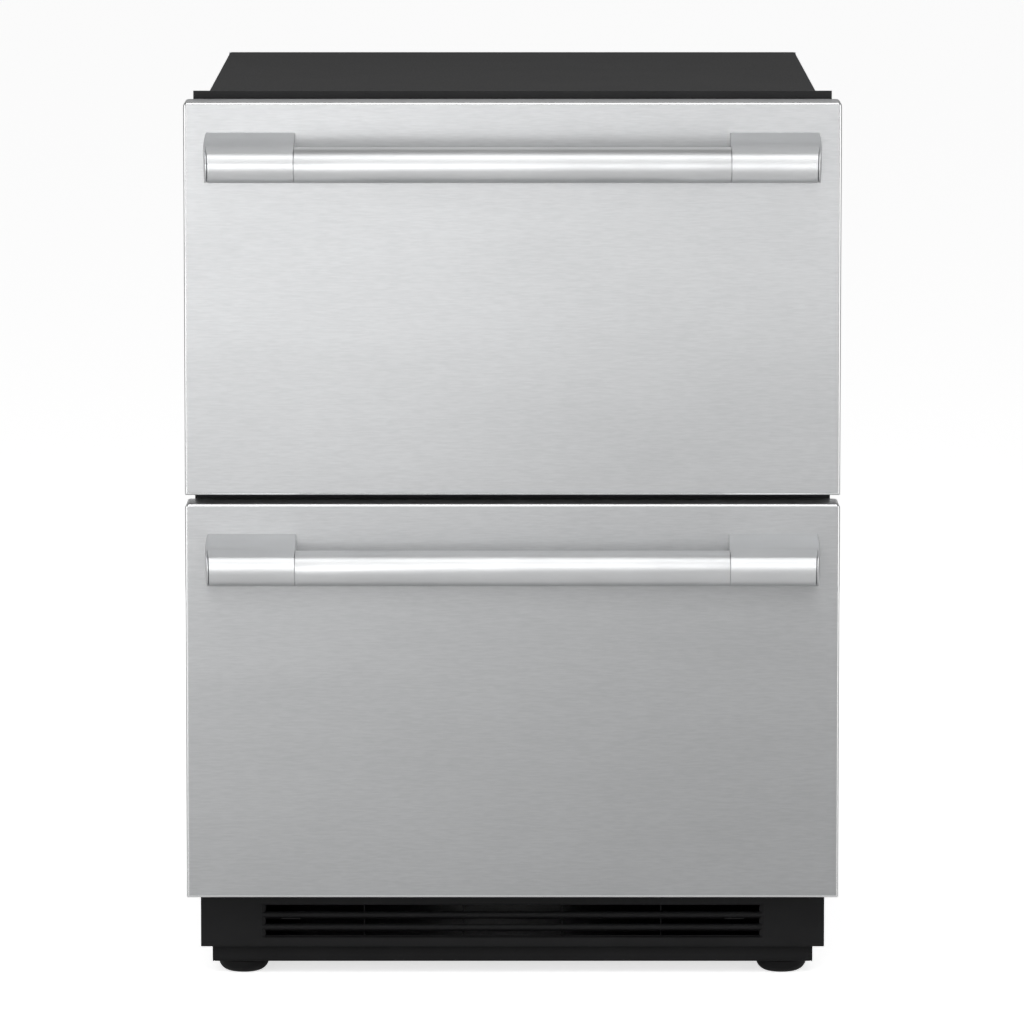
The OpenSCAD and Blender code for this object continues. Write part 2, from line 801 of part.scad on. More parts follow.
module evaporator() {
    rows = 6;
    pitch = (evap_w - fin_t) / (evap_fins - 1);
    color("#b9bcbf") at_face() union() {
        for (i = [0 : evap_fins - 1])
            slab([-evap_w / 2 + i * pitch, -evap_w / 2 + i * pitch + fin_t], evap_y, evap_z);
        for (row = [0 : rows - 1])
            translate([
                -evap_w / 2, well_y, evap_z[0] + evap_tube_first + row * evap_tube_rise
            ])
                rotate([0, 90, 0]) cylinder(r = evap_tube_r, h = evap_w);
    }
}

cover_t = 2;
cover_gap = 1;
cover_side_low = 70; // height above the hump at which the cover's sides begin
cover_ring_d = 20;
inlet_x = [40, 200];
inlet_h = 6;
inlet_pitch = 14;
inlet_top = 6;

module evaporator_cover() {
    rows = 6;
    ring_r = evap_fan_r + fan_gap;
    x = open_x - cover_gap;
    top = ceiling_z - cover_gap;
    color("#dfe1e2") at_face() difference() {
        union() {
            slab([-x, x], [cover_y, cover_y + cover_t], [hump_z, top]);
            both_sides() slab([x - cover_t, x], [cover_y, liner_y - liner_r], [hump_z + cover_side_low, top]);
            translate([0, cover_y, evap_fan_z]) rotate([-90, 0, 0])
                cylinder(r = ring_r + cover_t, h = cover_ring_d);
        }
        translate([0, cover_y - cut, evap_fan_z]) rotate([-90, 0, 0])
            cylinder(r = ring_r, h = cover_ring_d + 2 * cut);
        for (row = [0 : rows - 1])
            translate([0, 0, evap_z[1] - inlet_top - inlet_h - row * inlet_pitch]) both_sides()
                slab(inlet_x, [cover_y - cut, cover_y + cover_t + cut], [0, inlet_h]);
    }
}

evap_motor_l = 18;
evap_hub_r = 11;
evap_blade_w = 14;
strut_t = 3; // flat strut behind the cover's ring that holds the fan motor
strut_w = 12;
strut_over = 10; // how far its ends reach past the ring

module evaporator_fan_motor() {
    reach = evap_fan_r + fan_gap + strut_over;
    color("#3a3b3d") at_face() translate([0, cover_y, evap_fan_z]) union() {
        translate([0, cover_ring_d + strut_t / 2, 0]) rotate([-90, 0, 0])
            cylinder(r = motor_r, h = evap_motor_l);
        translate([0, blade_in + shaft_in, 0]) rotate([-90, 0, 0])
            cylinder(r = shaft_r, h = cover_ring_d);
        slab([-reach, reach], [cover_ring_d, cover_ring_d + strut_t], [-strut_w / 2, strut_w / 2]);
    }
}

module evaporator_fan_blade() {
    color("#5a5c60") at_face() translate([0, cover_y + blade_in, evap_fan_z]) rotate([0, 0, 90])
        fan(evap_fan_r, evap_hub_r, evap_blade_w, 5);
}

control_w = 240;
control_d = 84;
control_h = 20;
control_lip = 5; // height of its front edge
control_slope = 8; // depth over which its face slopes down
control_tail = 14; // depth over which its rear edge rises
control_tail_h = 14; // height of its rear edge
control_gap = 12; // distance behind the face frame

module control_housing() {
    z = ceiling_z;
    y = [wrap_y + control_gap, wrap_y + control_gap + control_d];
    color("#e9eaeb") at_face() side_view([-control_w / 2, control_w / 2], [
        [y[0], z], [y[0], z - control_lip], [y[0] + control_slope, z - control_h],
        [y[1] - control_tail, z - control_h], [y[1], z - control_tail_h], [y[1], z]
    ]);
}

lens_w = 180;
lens_d = 24;
lens_h = 8;
lens_gap = 8; // distance behind the control housing

// Lens with a shallow round underside
module light_lens() {
    y = wrap_y + control_gap + control_d + lens_gap;
    r = (lens_d * lens_d / 4 + lens_h * lens_h) / (2 * lens_h);
    half_angle = asin(lens_d / 2 / r);
    color("#f6f6f2") at_face() side_view(
        [-lens_w / 2, lens_w / 2],
        arc([y + lens_d / 2, ceiling_z + r - lens_h], r, 270 - half_angle, 270 + half_angle, 6)
    );
}

gland_x = 210;
gland_rise = 150;
gland_z = base_top + gland_rise;
gland_r = 9;
gland_l = 8;
gland_fit = 0.1;
gland_rim = 3;
cord_hole_r = 4;

module cord_gland() {
    color("#1d1d1d") at_face() translate([gland_x, back_y, gland_z]) rotate([-90, 0, 0]) difference() {
        union() {
            translate([0, 0, -gland_l]) cylinder(r = gland_r - gland_fit, h = gland_l + sheet_t);
            translate([0, 0, -gland_l]) cylinder(r = gland_r + gland_rim, h = gland_l);
        }
        translate([0, 0, -gland_l - cut]) cylinder(r = cord_hole_r, h = gland_l + sheet_t + 2 * cut);
    }
}

// ---- Telescopic slides, drawn for the right side ----

rail_levels = [
    for (open = [upper_open, lower_open]) open[1] - bin_head - rim_t - carrier_h / 2
];

// Channel that opens towards the middle, from x0 inwards
module channel(x0, depth, h, z, y, t) {
    difference() {
        slab([x0 - depth, x0], y, [z - h / 2, z + h / 2]);
        slab([x0 - depth - cut, x0 - t], [y[0] - cut, y[1] + cut], [z - h / 2 + t, z + h / 2 - t]);
    }
}

module rail(kind, level) {
    z = rail_levels[level];
    y = [rail_y, rail_y + rail_l];
    at_face() {
        if (kind == "outer") color("#b4b7b9") channel(open_x, rail_w - outer_short, rail_h, z, y, rail_t);
        if (kind == "middle") color("#c0c3c5")
            channel(open_x - mid_inset, rail_w - mid_short, mid_h, z, y, rail_t);
        if (kind == "inner") color("#cacccd") union() {
            channel(open_x - inner_inset, rail_w - inner_inset, inner_h, z, y, rail_t);
            slab([rail_x, rail_x + inner_web_t], y, [z - inner_h / 2, z + inner_h / 2]);
        }
    }
}

// ---- Drawer fronts ----

fronts = [
    // bottom edge, height, opening
    [upper_z, upper_front_h, upper_open],
    [lower_z, lower_front_h, lower_open]
];

// Block with a rounded face edge and rounded corners: three outlines crossed
module front_block(inset, level, y_end, r) {
    x = front_w / 2 - inset;
    z = [fronts[level][0] + inset, fronts[level][0] + fronts[level][1] - inset];
    y = [inset, y_end];
    intersection() {
        front_view(y, round_rect([-x, z[0]], [x, z[1]], r + 1));
        side_view([-x - cut, x + cut], concat(
            arc([y[0] + r, z[0] + r], r, 180, 270, 4), [[y[1] + cut, z[0]], [y[1] + cut, z[1]]],
            arc([y[0] + r, z[1] - r], r, 90, 180, 4)
        ));
        translate([0, 0, z[0] - cut]) linear_extrude(z[1] - z[0] + 2 * cut) polygon(concat(
            arc([-x + r, y[0] + r], r, 180, 270, 4), arc([x - r, y[0] + r], r, 270, 360, 4),
            [[x, y[1] + cut], [-x, y[1] + cut]]
        ));
    }
}

module front_skin(level) {
    color("#c9cacb") at_face() difference() {
        front_block(0, level, front_d, skin_r);
        front_block(skin_t, level, front_d + cut, skin_r - skin_t);
    }
}

function plug_box(level, inset) = let (open = fronts[level][2]) [
    [-open_x + plug_gap + inset, open[0] + plug_gap + inset],
    [open_x - plug_gap - inset, open[1] - plug_gap - inset]
];

module front_panel(level) {
    x = front_w / 2 - skin_t;
    z = [fronts[level][0] + skin_t, fronts[level][0] + fronts[level][1] - skin_t];
    outer = plug_box(level, 0);
    inner = plug_box(level, panel_t);
    color("#e6e7e8") at_face() difference() {
        union() {
            front_view([front_d - panel_t, front_d], round_rect([-x, z[0]], [x, z[1]], skin_r - skin_t + 1));
            front_view([front_d - panel_t, plug_y], round_rect(outer[0], outer[1], plug_r));
        }
        front_view(
            [front_d - panel_t - cut, plug_y - panel_t], round_rect(inner[0], inner[1], plug_r - panel_t)
        );
    }
}

module front_core(level) {
    inner = plug_box(level, panel_t);
    color("#e8dcae") at_face() union() {
        front_block(skin_t, level, front_d - panel_t, skin_r - skin_t);
        front_view(
            [front_d - panel_t - cut, plug_y - panel_t], round_rect(inner[0], inner[1], plug_r - panel_t)
        );
    }
}

module gasket(level) {
    open = fronts[level][2];
    y = [front_d, frame_y - touch_gap];
    module band(y_range, out, into) {
        difference() {
            front_view(
                y_range, round_rect([-open_x - out, open[0] - out], [open_x + out, open[1] + out], seal_r)
            );
            front_view(
                [y_range[0] - cut, y_range[1] + cut],
                round_rect([-open_x - into, open[0] - into], [open_x + into, open[1] + into], open_r)
            );
        }
    }
    color("#9b9da0") at_face() union() {
        band([y[0], y[0] + seal_foot_t], seal_inset + seal_w, seal_inset);
        band([y[0] + seal_foot_t / 2, y[1]], seal_inset + seal_w - seal_step, seal_inset + seal_step);
    }
}

// ---- Handles ----

function bar_z(level) = fronts[level][0] + fronts[level][1] - bar_drop;

module handle_bar(level) {
    half = bar_l / 2;
    color("#dcdddd") at_face() translate([-half, -bar_out, bar_z(level)]) rotate([0, 90, 0]) difference() {
        cylinder(r = bar_dia / 2, h = bar_l, $fn = 96);
        translate([0, 0, -cut]) cylinder(r = bar_dia / 2 - bar_wall, h = bar_l + 2 * cut, $fn = 96);
    }
}

web_sag = 1.2; // hollow of the web's top curve
spigot_fit = 0.1;
spigot_root = 4; // how far the spigot is let into the bracket

// End bracket, drawn for the right end: its side view is the bar's circle with a web that rises to the face.
// The web's top is a shallow hollow curve that meets the circle at 45 degrees; the outer end is domed.
module handle_bracket(level) {
    r = bar_dia / 2;
    z0 = bar_z(level);
    x = [bar_l / 2, bar_l / 2 + bracket_l + dome_h];
    meet = [-bar_out - r * cos(45), r * sin(45)];
    steps = 6;
    web_top = [
        for (i = [0 : steps])
            let (s = i / steps)
                [meet.x * (1 - s), meet.y * (1 - s) + bracket_rise * s - web_sag * 4 * s * (1 - s)]
    ];
    circle_back = arc([-bar_out, 0], r, 270, 135, 24);
    dome_reach = bracket_rise + r;
    dome_r = (dome_reach * dome_reach + dome_h * dome_h) / (2 * dome_h);
    outline = concat([[0, -r]], circle_back, [for (i = [1 : steps]) web_top[i]]);
    color("#d6d7d8") at_face() translate([0, 0, z0]) union() {
        intersection() {
            side_view(x, outline);
            translate([x[1] - dome_r, -bar_out / 2, (bracket_rise - r) / 2]) sphere(r = dome_r, $fn = 96);
        }
        translate([x[0] - spigot_l, -bar_out, 0]) rotate([0, 90, 0])
            cylinder(r = r - bar_wall - spigot_fit, h = spigot_l + spigot_root, $fn = 96);
    }
}

// ---- Bins and carriers ----

function bin_floor(level) = level == 0 ? upper_open[0] + bin_foot : sill_z + bin_foot;
function rim_z(level) = fronts[level][2][1] - bin_head;

// Side view of a bin, shrunk by o; the lower bin steps up over the machine bay
function bin_view(level, o, top) = let (
    r = bin_floor_r, low = bin_floor(level), y = bin_y, step_y = hump_y - bin_step_gap,
    rear_low = level == 0 ? low : hump_z + bin_foot
) concat(
    arc([y[0] + r, low + r], r - o, 180, 270, 4),
    level == 0 ? [] : arc([step_y - r, low + r], r - o, 270, 360, 4),
    level == 0 ? [] : arc([step_y + r, rear_low - r], r + o, 180, 90, 4),
    arc([y[1] - r, rear_low + r], r - o, 270, 360, 4),
    [[y[1] - o, top], [y[0] + o, top]]
);

module bin_body(level, o, top) {
    low = bin_floor(level);
    intersection() {
        side_view([-bin_x + o, bin_x - o], bin_view(level, o, top));
        translate([0, 0, low - cut]) linear_extrude(top - low + 2 * cut)
            polygon(round_rect([-bin_x + o, bin_y[0] + o], [bin_x - o, bin_y[1] - o], bin_r - o, 5));
    }
}

module bin(level) {
    top = rim_z(level);
    color("#eceded") at_face() difference() {
        union() {
            bin_body(level, 0, top);
            translate([0, 0, top - rim_t]) linear_extrude(rim_t)
                polygon(round_rect([-rail_x, bin_y[0] - rim_lip], [rail_x, bin_y[1] + rim_lip], bin_r, 5));
        }
        bin_body(level, bin_t, top + cut);
    }
}

carrier_tab_w = 34;
carrier_bar_h = 30;
carrier_bar_gap = 6; // air between a bin and the carrier's rear bar

module carrier(level) {
    z = [rim_z(level) - rim_t - carrier_h, rim_z(level) - rim_t];
    bar_y = bin_y[1] + carrier_bar_gap;
    color("#bfc1c3") at_face() union() {
        both_sides() {
            slab([plate_x, rail_x], [plug_y, rail_y + rail_l], z);
            slab([plate_x - carrier_tab_w, rail_x], [plug_y, plug_y + carrier_t], z);
        }
        slab([-rail_x, rail_x], [bar_y, bar_y + carrier_t], [z[0], z[0] + carrier_bar_h]);
    }
}

outer_wrap();
face_frame();
mullion_rail();
inner_liner();
foam_insulation();
machine_bulkhead();
rear_panel();
rear_cover();
base_pan();
kick_plate();
compressor();
compressor_mounts();
condenser();
condenser_fan_shroud();
condenser_fan_motor();
condenser_fan_blade();
drip_tray();
drain_tube();
refrigerant_lines();
evaporator();
evaporator_cover();
evaporator_fan_motor();
evaporator_fan_blade();
control_housing();
light_lens();
cord_gland();
foot(0);  // foot_front_left
foot(1);  // foot_front_right
foot(2);  // foot_rear_left
foot(3);  // foot_rear_right
mirror([1, 0, 0]) rail("outer", 0);  // upper_left_outer_rail
rail("outer", 0);  // upper_right_outer_rail
mirror([1, 0, 0]) rail("outer", 1);  // lower_left_outer_rail
rail("outer", 1);  // lower_right_outer_rail
mirror([1, 0, 0]) rail("middle", 0);  // upper_left_middle_rail
rail("middle", 0);  // upper_right_middle_rail
mirror([1, 0, 0]) rail("middle", 1);  // lower_left_middle_rail
rail("middle", 1);  // lower_right_middle_rail
front_skin(0);  // upper_front_skin
front_core(0);  // upper_front_core
front_panel(0);  // upper_front_panel
gasket(0);  // upper_gasket
handle_bar(0);  // upper_handle_bar
mirror([1, 0, 0]) handle_bracket(0);  // upper_handle_bracket_left
handle_bracket(0);  // upper_handle_bracket_right
bin(0);  // upper_bin
carrier(0);  // upper_carrier
mirror([1, 0, 0]) rail("inner", 0);  // upper_left_inner_rail
rail("inner", 0);  // upper_right_inner_rail
front_skin(1);  // lower_front_skin
front_core(1);  // lower_front_core
front_panel(1);  // lower_front_panel
gasket(1);  // lower_gasket
handle_bar(1);  // lower_handle_bar
mirror([1, 0, 0]) handle_bracket(1);  // lower_handle_bracket_left
handle_bracket(1);  // lower_handle_bracket_right
bin(1);  // lower_bin
carrier(1);  // lower_carrier
mirror([1, 0, 0]) rail("inner", 1);  // lower_left_inner_rail
rail("inner", 1);  // lower_right_inner_rail
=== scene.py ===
import json
import math

import bmesh
import bpy
import numpy as np
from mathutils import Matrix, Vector


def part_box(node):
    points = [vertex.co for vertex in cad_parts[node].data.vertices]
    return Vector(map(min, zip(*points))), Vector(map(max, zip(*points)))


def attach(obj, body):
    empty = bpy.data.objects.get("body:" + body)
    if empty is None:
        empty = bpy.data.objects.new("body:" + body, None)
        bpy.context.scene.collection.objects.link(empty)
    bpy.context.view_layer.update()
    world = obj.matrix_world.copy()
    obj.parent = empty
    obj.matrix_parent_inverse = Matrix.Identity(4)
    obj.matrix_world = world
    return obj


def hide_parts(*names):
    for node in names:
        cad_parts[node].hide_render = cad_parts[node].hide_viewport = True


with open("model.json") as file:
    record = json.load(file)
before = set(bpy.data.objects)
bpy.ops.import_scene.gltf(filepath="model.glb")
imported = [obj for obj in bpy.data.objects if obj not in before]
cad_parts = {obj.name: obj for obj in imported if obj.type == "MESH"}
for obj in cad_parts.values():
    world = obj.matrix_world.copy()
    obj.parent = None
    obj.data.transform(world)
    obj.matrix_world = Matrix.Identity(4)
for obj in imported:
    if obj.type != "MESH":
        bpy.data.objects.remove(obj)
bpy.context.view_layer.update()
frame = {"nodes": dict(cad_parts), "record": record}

mm = 0.001
nodes = frame["nodes"]
bodyOf = {n: b for b, members in frame["record"]["behaviour"]["bodies"].items() for n in members}
slotOf = {s["node"]: s["material_slot"] for s in frame["record"]["subparts"]}
brushed = ("stainless", "handle_steel")
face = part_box("upper_front_skin")[0][1]
print("frame loaded,", len(nodes), "nodes")


# A piece's sizes, given in millimetres.
def inMm(**sizes):
    return {name: size * mm for name, size in sizes.items()}


# Outlines and surfaces.

# Lower and upper corner of a node's box.
def corners(node):
    return [np.array(c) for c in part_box(node)]


# Middle and half sizes of a node's box.
def middleAndHalf(node):
    lo, hi = corners(node)
    return (lo + hi) / 2, (hi - lo) / 2


# Rows of vectors, each divided by its length.
def unit(vectors):
    return vectors / np.linalg.norm(vectors, axis=1)[:, None]


# Rounded rectangle about (0, 0): quarter circles of radius r round four corners, joined by straight sides.
# The radius is one number, or one for each corner, anticlockwise from the upper right.
def roundedRect(halfU, halfV, r, steps=6):
    r = np.broadcast_to(r, 4)[:, None]
    angle = np.linspace(0, math.pi / 2, steps + 1) + np.arange(4)[:, None] * math.pi / 2
    u = (halfU - r) * np.array([1, -1, -1, 1])[:, None] + r * np.cos(angle)
    v = (halfV - r) * np.array([1, 1, -1, -1])[:, None] + r * np.sin(angle)
    return np.stack([u, v], -1).reshape(-1, 2)


# Arc of radius r about a centre, from one angle in degrees to another.
def arc(centre, r, start, end, steps):
    a = np.radians(np.linspace(start, end, steps + 1))
    return np.stack([centre[0] + r * np.cos(a), centre[1] + r * np.sin(a)], -1)


# Every corner of a line becomes a short curve: (1-s)^2 p0 + 2s(1-s) corner + s^2 p1, with p0 and p1 at
# the distance r from the corner, or less on a short side.
def roundCorners(points, r, steps=4, closed=True):
    points = np.asarray(points, float)
    before, after = np.roll(points, 1, 0) - points, np.roll(points, -1, 0) - points
    lengths = np.minimum(np.linalg.norm(before, axis=1), np.linalg.norm(after, axis=1))
    reach = np.minimum(np.broadcast_to(r, lengths.shape), lengths * 0.48)[:, None]
    p0, p1 = points + unit(before) * reach, points + unit(after) * reach
    s = np.linspace(0, 1, steps + 1)[None, :, None]
    curve = (1 - s) ** 2 * p0[:, None] + 2 * s * (1 - s) * points[:, None] + s ** 2 * p1[:, None]
    flat = points.shape[1]
    if closed:
        return curve.reshape(-1, flat)
    return np.concatenate([points[:1], curve[1:-1].reshape(-1, flat), points[-1:]])


# Left normals of the sides before and after each point of a closed outline, and their mitre.
def mitres(outline):
    side = np.roll(outline, -1, 0) - outline
    side = side / np.maximum(np.linalg.norm(side, axis=1), 1e-12)[:, None]
    normal = np.stack([-side[:, 1], side[:, 0]], -1)
    last = np.roll(normal, 1, 0)
    return (normal + last) / (1 + np.sum(normal * last, 1))[:, None]


# Outline with every side moved inwards by d.
def shrink(outline, d):
    u, v = outline.T
    turn = np.sign(np.sum(u * np.roll(v, -1) - np.roll(u, -1) * v))
    return outline + turn * d * mitres(outline)


# Outline of a sheet of thickness t that follows an open line: the line moved by t/2 to both sides.
def sheetOutline(line, t):
    side = unit(np.diff(line, axis=0))
    normal = np.stack([-side[:, 1], side[:, 0]], -1)
    before, after = normal[:-1], normal[1:]
    inner = (before + after) / (1 + np.sum(before * after, 1))[:, None]
    normal = np.concatenate([normal[:1], inner, normal[-1:]])
    return np.concatenate([line + normal * t / 2, (line - normal * t / 2)[::-1]])


# Places a flat outline at a depth: plane "xz" faces along Y, "xy" along Z and "yz" along X.
def lift(flat, depth, plane):
    u, v = flat[..., 0], flat[..., 1]
    d = np.broadcast_to(depth, u.shape)
    return np.stack({"xz": (u, d, v), "xy": (u, v, d), "yz": (d, u, v)}[plane], -1)


# Surface through rings of equal length: quads join each ring to the next, and flat faces close the two
# ends, or the last ring joins the first.
def skinRings(rings, wrap=False):
    rings = np.asarray(rings, float)
    count, size = rings.shape[:2]
    index = np.arange(count * size).reshape(count, size)
    following = np.roll(index, -1, 0) if wrap else index[1:]
    here = index if wrap else index[:-1]
    quads = np.stack([here, np.roll(here, -1, 1), np.roll(following, -1, 1), following], -1)
    faces = quads.reshape(-1, 4).tolist()
    if not wrap:
        faces += [index[0][::-1].tolist(), index[-1].tolist()]
    return rings.reshape(-1, 3), faces


# Turns a closed surface so that its faces point outwards: its signed volume has to be positive.
def outward(shell):
    points, faces = shell
    fans = np.array([(f[0], f[i], f[i + 1]) for f in faces for i in range(1, len(f) - 1)])
    a, b, c = (points[fans[:, i]] for i in range(3))
    if np.sum(np.cross(a, b) * c) < 0:
        faces = [f[::-1] for f in faces]
    return points, faces


# Extrusion of an outline from depth a to depth b, with both ends' edges rounded by an arc of radius r.
def prism(outline, plane, a, b, r=0.3 * mm, steps=2):
    turn = np.radians(np.linspace(0, 90, steps + 1))
    inset, reach = r * (1 - np.sin(turn)), r * (1 - np.cos(turn))
    a, b = min(a, b), max(a, b)
    start = [lift(shrink(outline, i), a + d, plane) for i, d in zip(inset, reach)]
    end = [lift(shrink(outline, i), b - d, plane) for i, d in zip(inset[::-1], reach[::-1])]
    return outward(skinRings(start + end))


# Surface through rounded rectangles, each given as (centre, half sizes, corner radius, depth).
def rectLoft(rows, plane, steps=6, **ends):
    rings = [lift(roundedRect(*half, np.maximum(r, 0.2 * mm), steps) + np.asarray(centre), depth, plane)
             for centre, half, r, depth in rows]
    return outward(skinRings(rings, **ends))


# Rounded rectangle carried along a profile of (inset, depth) pairs; its corners shrink with the inset.
def tray(centre, half, cornerR, profile, plane, steps=6, **ends):
    half, cornerR = np.asarray(half), np.asarray(cornerR)
    return rectLoft([(centre, half - i, cornerR - i, d) for i, d in profile], plane, steps, **ends)


# Sheet of thickness t that stands on an open line. At each point of the line its width runs from start to
# end along the third axis, and its two edges are rounded.
def ribbon(line, t, start, end, plane, e=0.25 * mm):
    outline = sheetOutline(line, t)
    count = len(line)
    left, right = outline[:count], outline[count:][::-1]
    start, end = np.broadcast_to(start, count), np.broadcast_to(end, count)
    section = ((left, start + e), (left, end - e), ((left + right) / 2, end),
               (right, end - e), (right, start + e), ((left + right) / 2, start))
    return outward(skinRings(np.stack([lift(flat, depth, plane) for flat, depth in section], 1)))


# Profile of (radius, height) pairs turned about an axis along x, y or z through a point.
def turned(profile, origin, axis, sides=64, wrap=False):
    angle = np.linspace(0, 2 * math.pi, sides, endpoint=False)
    radius, height = np.asarray(profile, float).T
    ringU, ringV = radius[:, None] * np.cos(angle), radius[:, None] * np.sin(angle)
    along = np.broadcast_to(height[:, None], ringU.shape)
    order = {"x": (along, ringU, ringV), "y": (ringU, along, ringV), "z": (ringU, ringV, along)}[axis]
    return outward(skinRings(np.stack(order, -1) + np.asarray(origin, float), wrap=wrap))


# Pipe of radius r along a line of points: circles square to the path, each turned on from the last one by
# the smallest turn, so the pipe does not twist. Its ends are slightly rounded.
def pipe(path, r, sides=20, ease=0.4 * mm):
    path = np.asarray(path, float)
    ahead = unit(np.diff(path, axis=0))
    tangent = unit(np.concatenate([ahead[:1], ahead[:-1] + ahead[1:], ahead[-1:]]))
    side = [np.cross(tangent[0], [0.0, 0.0, 1.0] if abs(tangent[0][2]) < 0.9 else [1.0, 0.0, 0.0])]
    for t in tangent[1:]:
        side.append(side[-1] - t * np.dot(side[-1], t))
    side = unit(np.array(side))
    up = np.cross(tangent, side)
    angle = np.linspace(0, 2 * math.pi, sides, endpoint=False)[None, :, None]
    circles = path[:, None] + r * (side[:, None] * np.cos(angle) + up[:, None] * np.sin(angle))
    first = path[0] + (circles[0] - path[0]) * (1 - ease / r)
    last = path[-1] + (circles[-1] - path[-1]) * (1 - ease / r)
    circles[0] += tangent[0] * ease
    circles[-1] -= tangent[-1] * ease
    return outward(skinRings(np.concatenate([first[None], circles, last[None]])))


# Fin of thickness t: a sheet along y with a sine ripple of height wave and the given pitch.
def rippledFin(x, y0, y1, z0, z1, t, wave, pitch):
    count = max(int((y1 - y0) / pitch) * 6, 12)
    y = np.linspace(y0, y1, count)
    line = np.stack([x + wave * np.sin((y - y0) / pitch * 2 * math.pi), y], -1)
    outline = sheetOutline(line, t)
    return outward(skinRings([lift(outline, z0, "xy"), lift(outline, z1, "xy")]))


# Turns a shell drawn along z into one along the axis x or y, and moves it.
def laid(shell, axis, place):
    points, faces = shell
    x, y, z = points.T
    order = {"x": (z, x, y), "y": (y, z, x), "z": (x, y, z)}[axis]
    return outward((np.stack(order, -1) + np.asarray(place, float), faces))


# Several shells as one: their points in a row, and each one's face indices moved on by the points before.
def joined(*shells):
    points, faces, start = [], [], 0
    for p, f in shells:
        points.append(p)
        faces += [[i + start for i in face] for face in f]
        start += len(p)
    return np.concatenate(points), faces


# Mirror image across the middle plane, turned the right way out again.
def mirrored(shell):
    points, faces = shell
    return points * np.array([-1, 1, 1]), [f[::-1] for f in faces]


# UV map of the grain. On each face V runs along the grain and U across it, so U gives the wide direction
# of the highlight. The grain runs along X, or along Y on faces that look sideways.
def grainMap(mesh):
    count = len(mesh.loops)
    spot, normal = np.zeros(len(mesh.vertices) * 3), np.zeros(len(mesh.polygons) * 3)
    vertexOf, sizes = np.zeros(count, int), np.zeros(len(mesh.polygons), int)
    mesh.vertices.foreach_get("co", spot)
    mesh.polygons.foreach_get("normal", normal)
    mesh.loops.foreach_get("vertex_index", vertexOf)
    mesh.polygons.foreach_get("loop_total", sizes)
    p = spot.reshape(-1, 3)[vertexOf]
    n = np.repeat(normal.reshape(-1, 3), sizes, axis=0)
    sideways = np.abs(n[:, :1]) > 0.75
    along = np.where(sideways, [[0.0, 1.0, 0.0]], [[1.0, 0.0, 0.0]])
    along = along - n * np.sum(along * n, 1)[:, None]
    across = np.cross(n, along)
    uv = np.stack([np.sum(p * across, 1), np.sum(p * along, 1)], -1)
    layer = mesh.uv_layers.new(name="grain")
    layer.data.foreach_set("uv", uv.ravel())


def shadeSmooth(mesh, angle):
    mesh.polygons.foreach_set("use_smooth", np.ones(len(mesh.polygons), bool))
    mesh.set_sharp_from_angle(angle=math.radians(angle))


# Puts a mesh in the scene in a node's place: with its material and slot, on its body.
def standFor(node, name, mesh):
    mesh.materials.append(finishes[slotOf[node]])
    piece = bpy.data.objects.new(name, mesh)
    bpy.context.scene.collection.objects.link(piece)
    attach(piece, bodyOf[node])
    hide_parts(node)
    return piece


# A new piece from a shell. Edges sharper than the angle in degrees stay sharp.
def makePiece(name, shell, node, smooth=32):
    points, faces = shell
    mesh = bpy.data.meshes.new(name)
    mesh.from_pydata(points.tolist(), [], faces)
    shadeSmooth(mesh, smooth)
    mesh.update()
    if slotOf[node] in brushed:
        grainMap(mesh)
    standFor(node, name, mesh)


# Materials.

def hexColour(code):
    s = np.array([int(code[i:i + 2], 16) / 255 for i in (1, 3, 5)])
    linear = np.where(s <= 0.04045, s / 12.92, ((s + 0.055) / 1.055) ** 2.4)
    return (*linear.tolist(), 1.0)


# Adds a node, sets its settings, and fills its sockets with values or with links from other nodes.
def addNode(tree, kind, sockets=None, **settings):
    made = tree.nodes.new("ShaderNode" + kind)
    for name, value in settings.items():
        setattr(made, name, value)
    for name, value in (sockets or {}).items():
        if isinstance(value, bpy.types.NodeSocket):
            tree.links.new(value, made.inputs[name])
        else:
            made.inputs[name].default_value = value
    return made


# Noise whose grains have the given sizes in millimetres along X, Y and Z.
def grains(tree, size, detail=2.0, seed=0.0):
    place = addNode(tree, "TexCoord").outputs["Object"]
    sizes = size if isinstance(size, (tuple, list)) else (size,) * 3
    scaled = addNode(tree, "Mapping", {"Vector": place, "Scale": [1 / (s * mm) for s in sizes],
                                       "Location": (seed, seed * 1.7, seed * 0.6)}, vector_type="POINT")
    return addNode(tree, "TexNoise", {"Vector": scaled.outputs[0], "Scale": 1.0, "Detail": detail}).outputs[0]


noiseSpan = {"From Min": 0.3, "From Max": 0.7}  # nearly all values of a noise lie between these


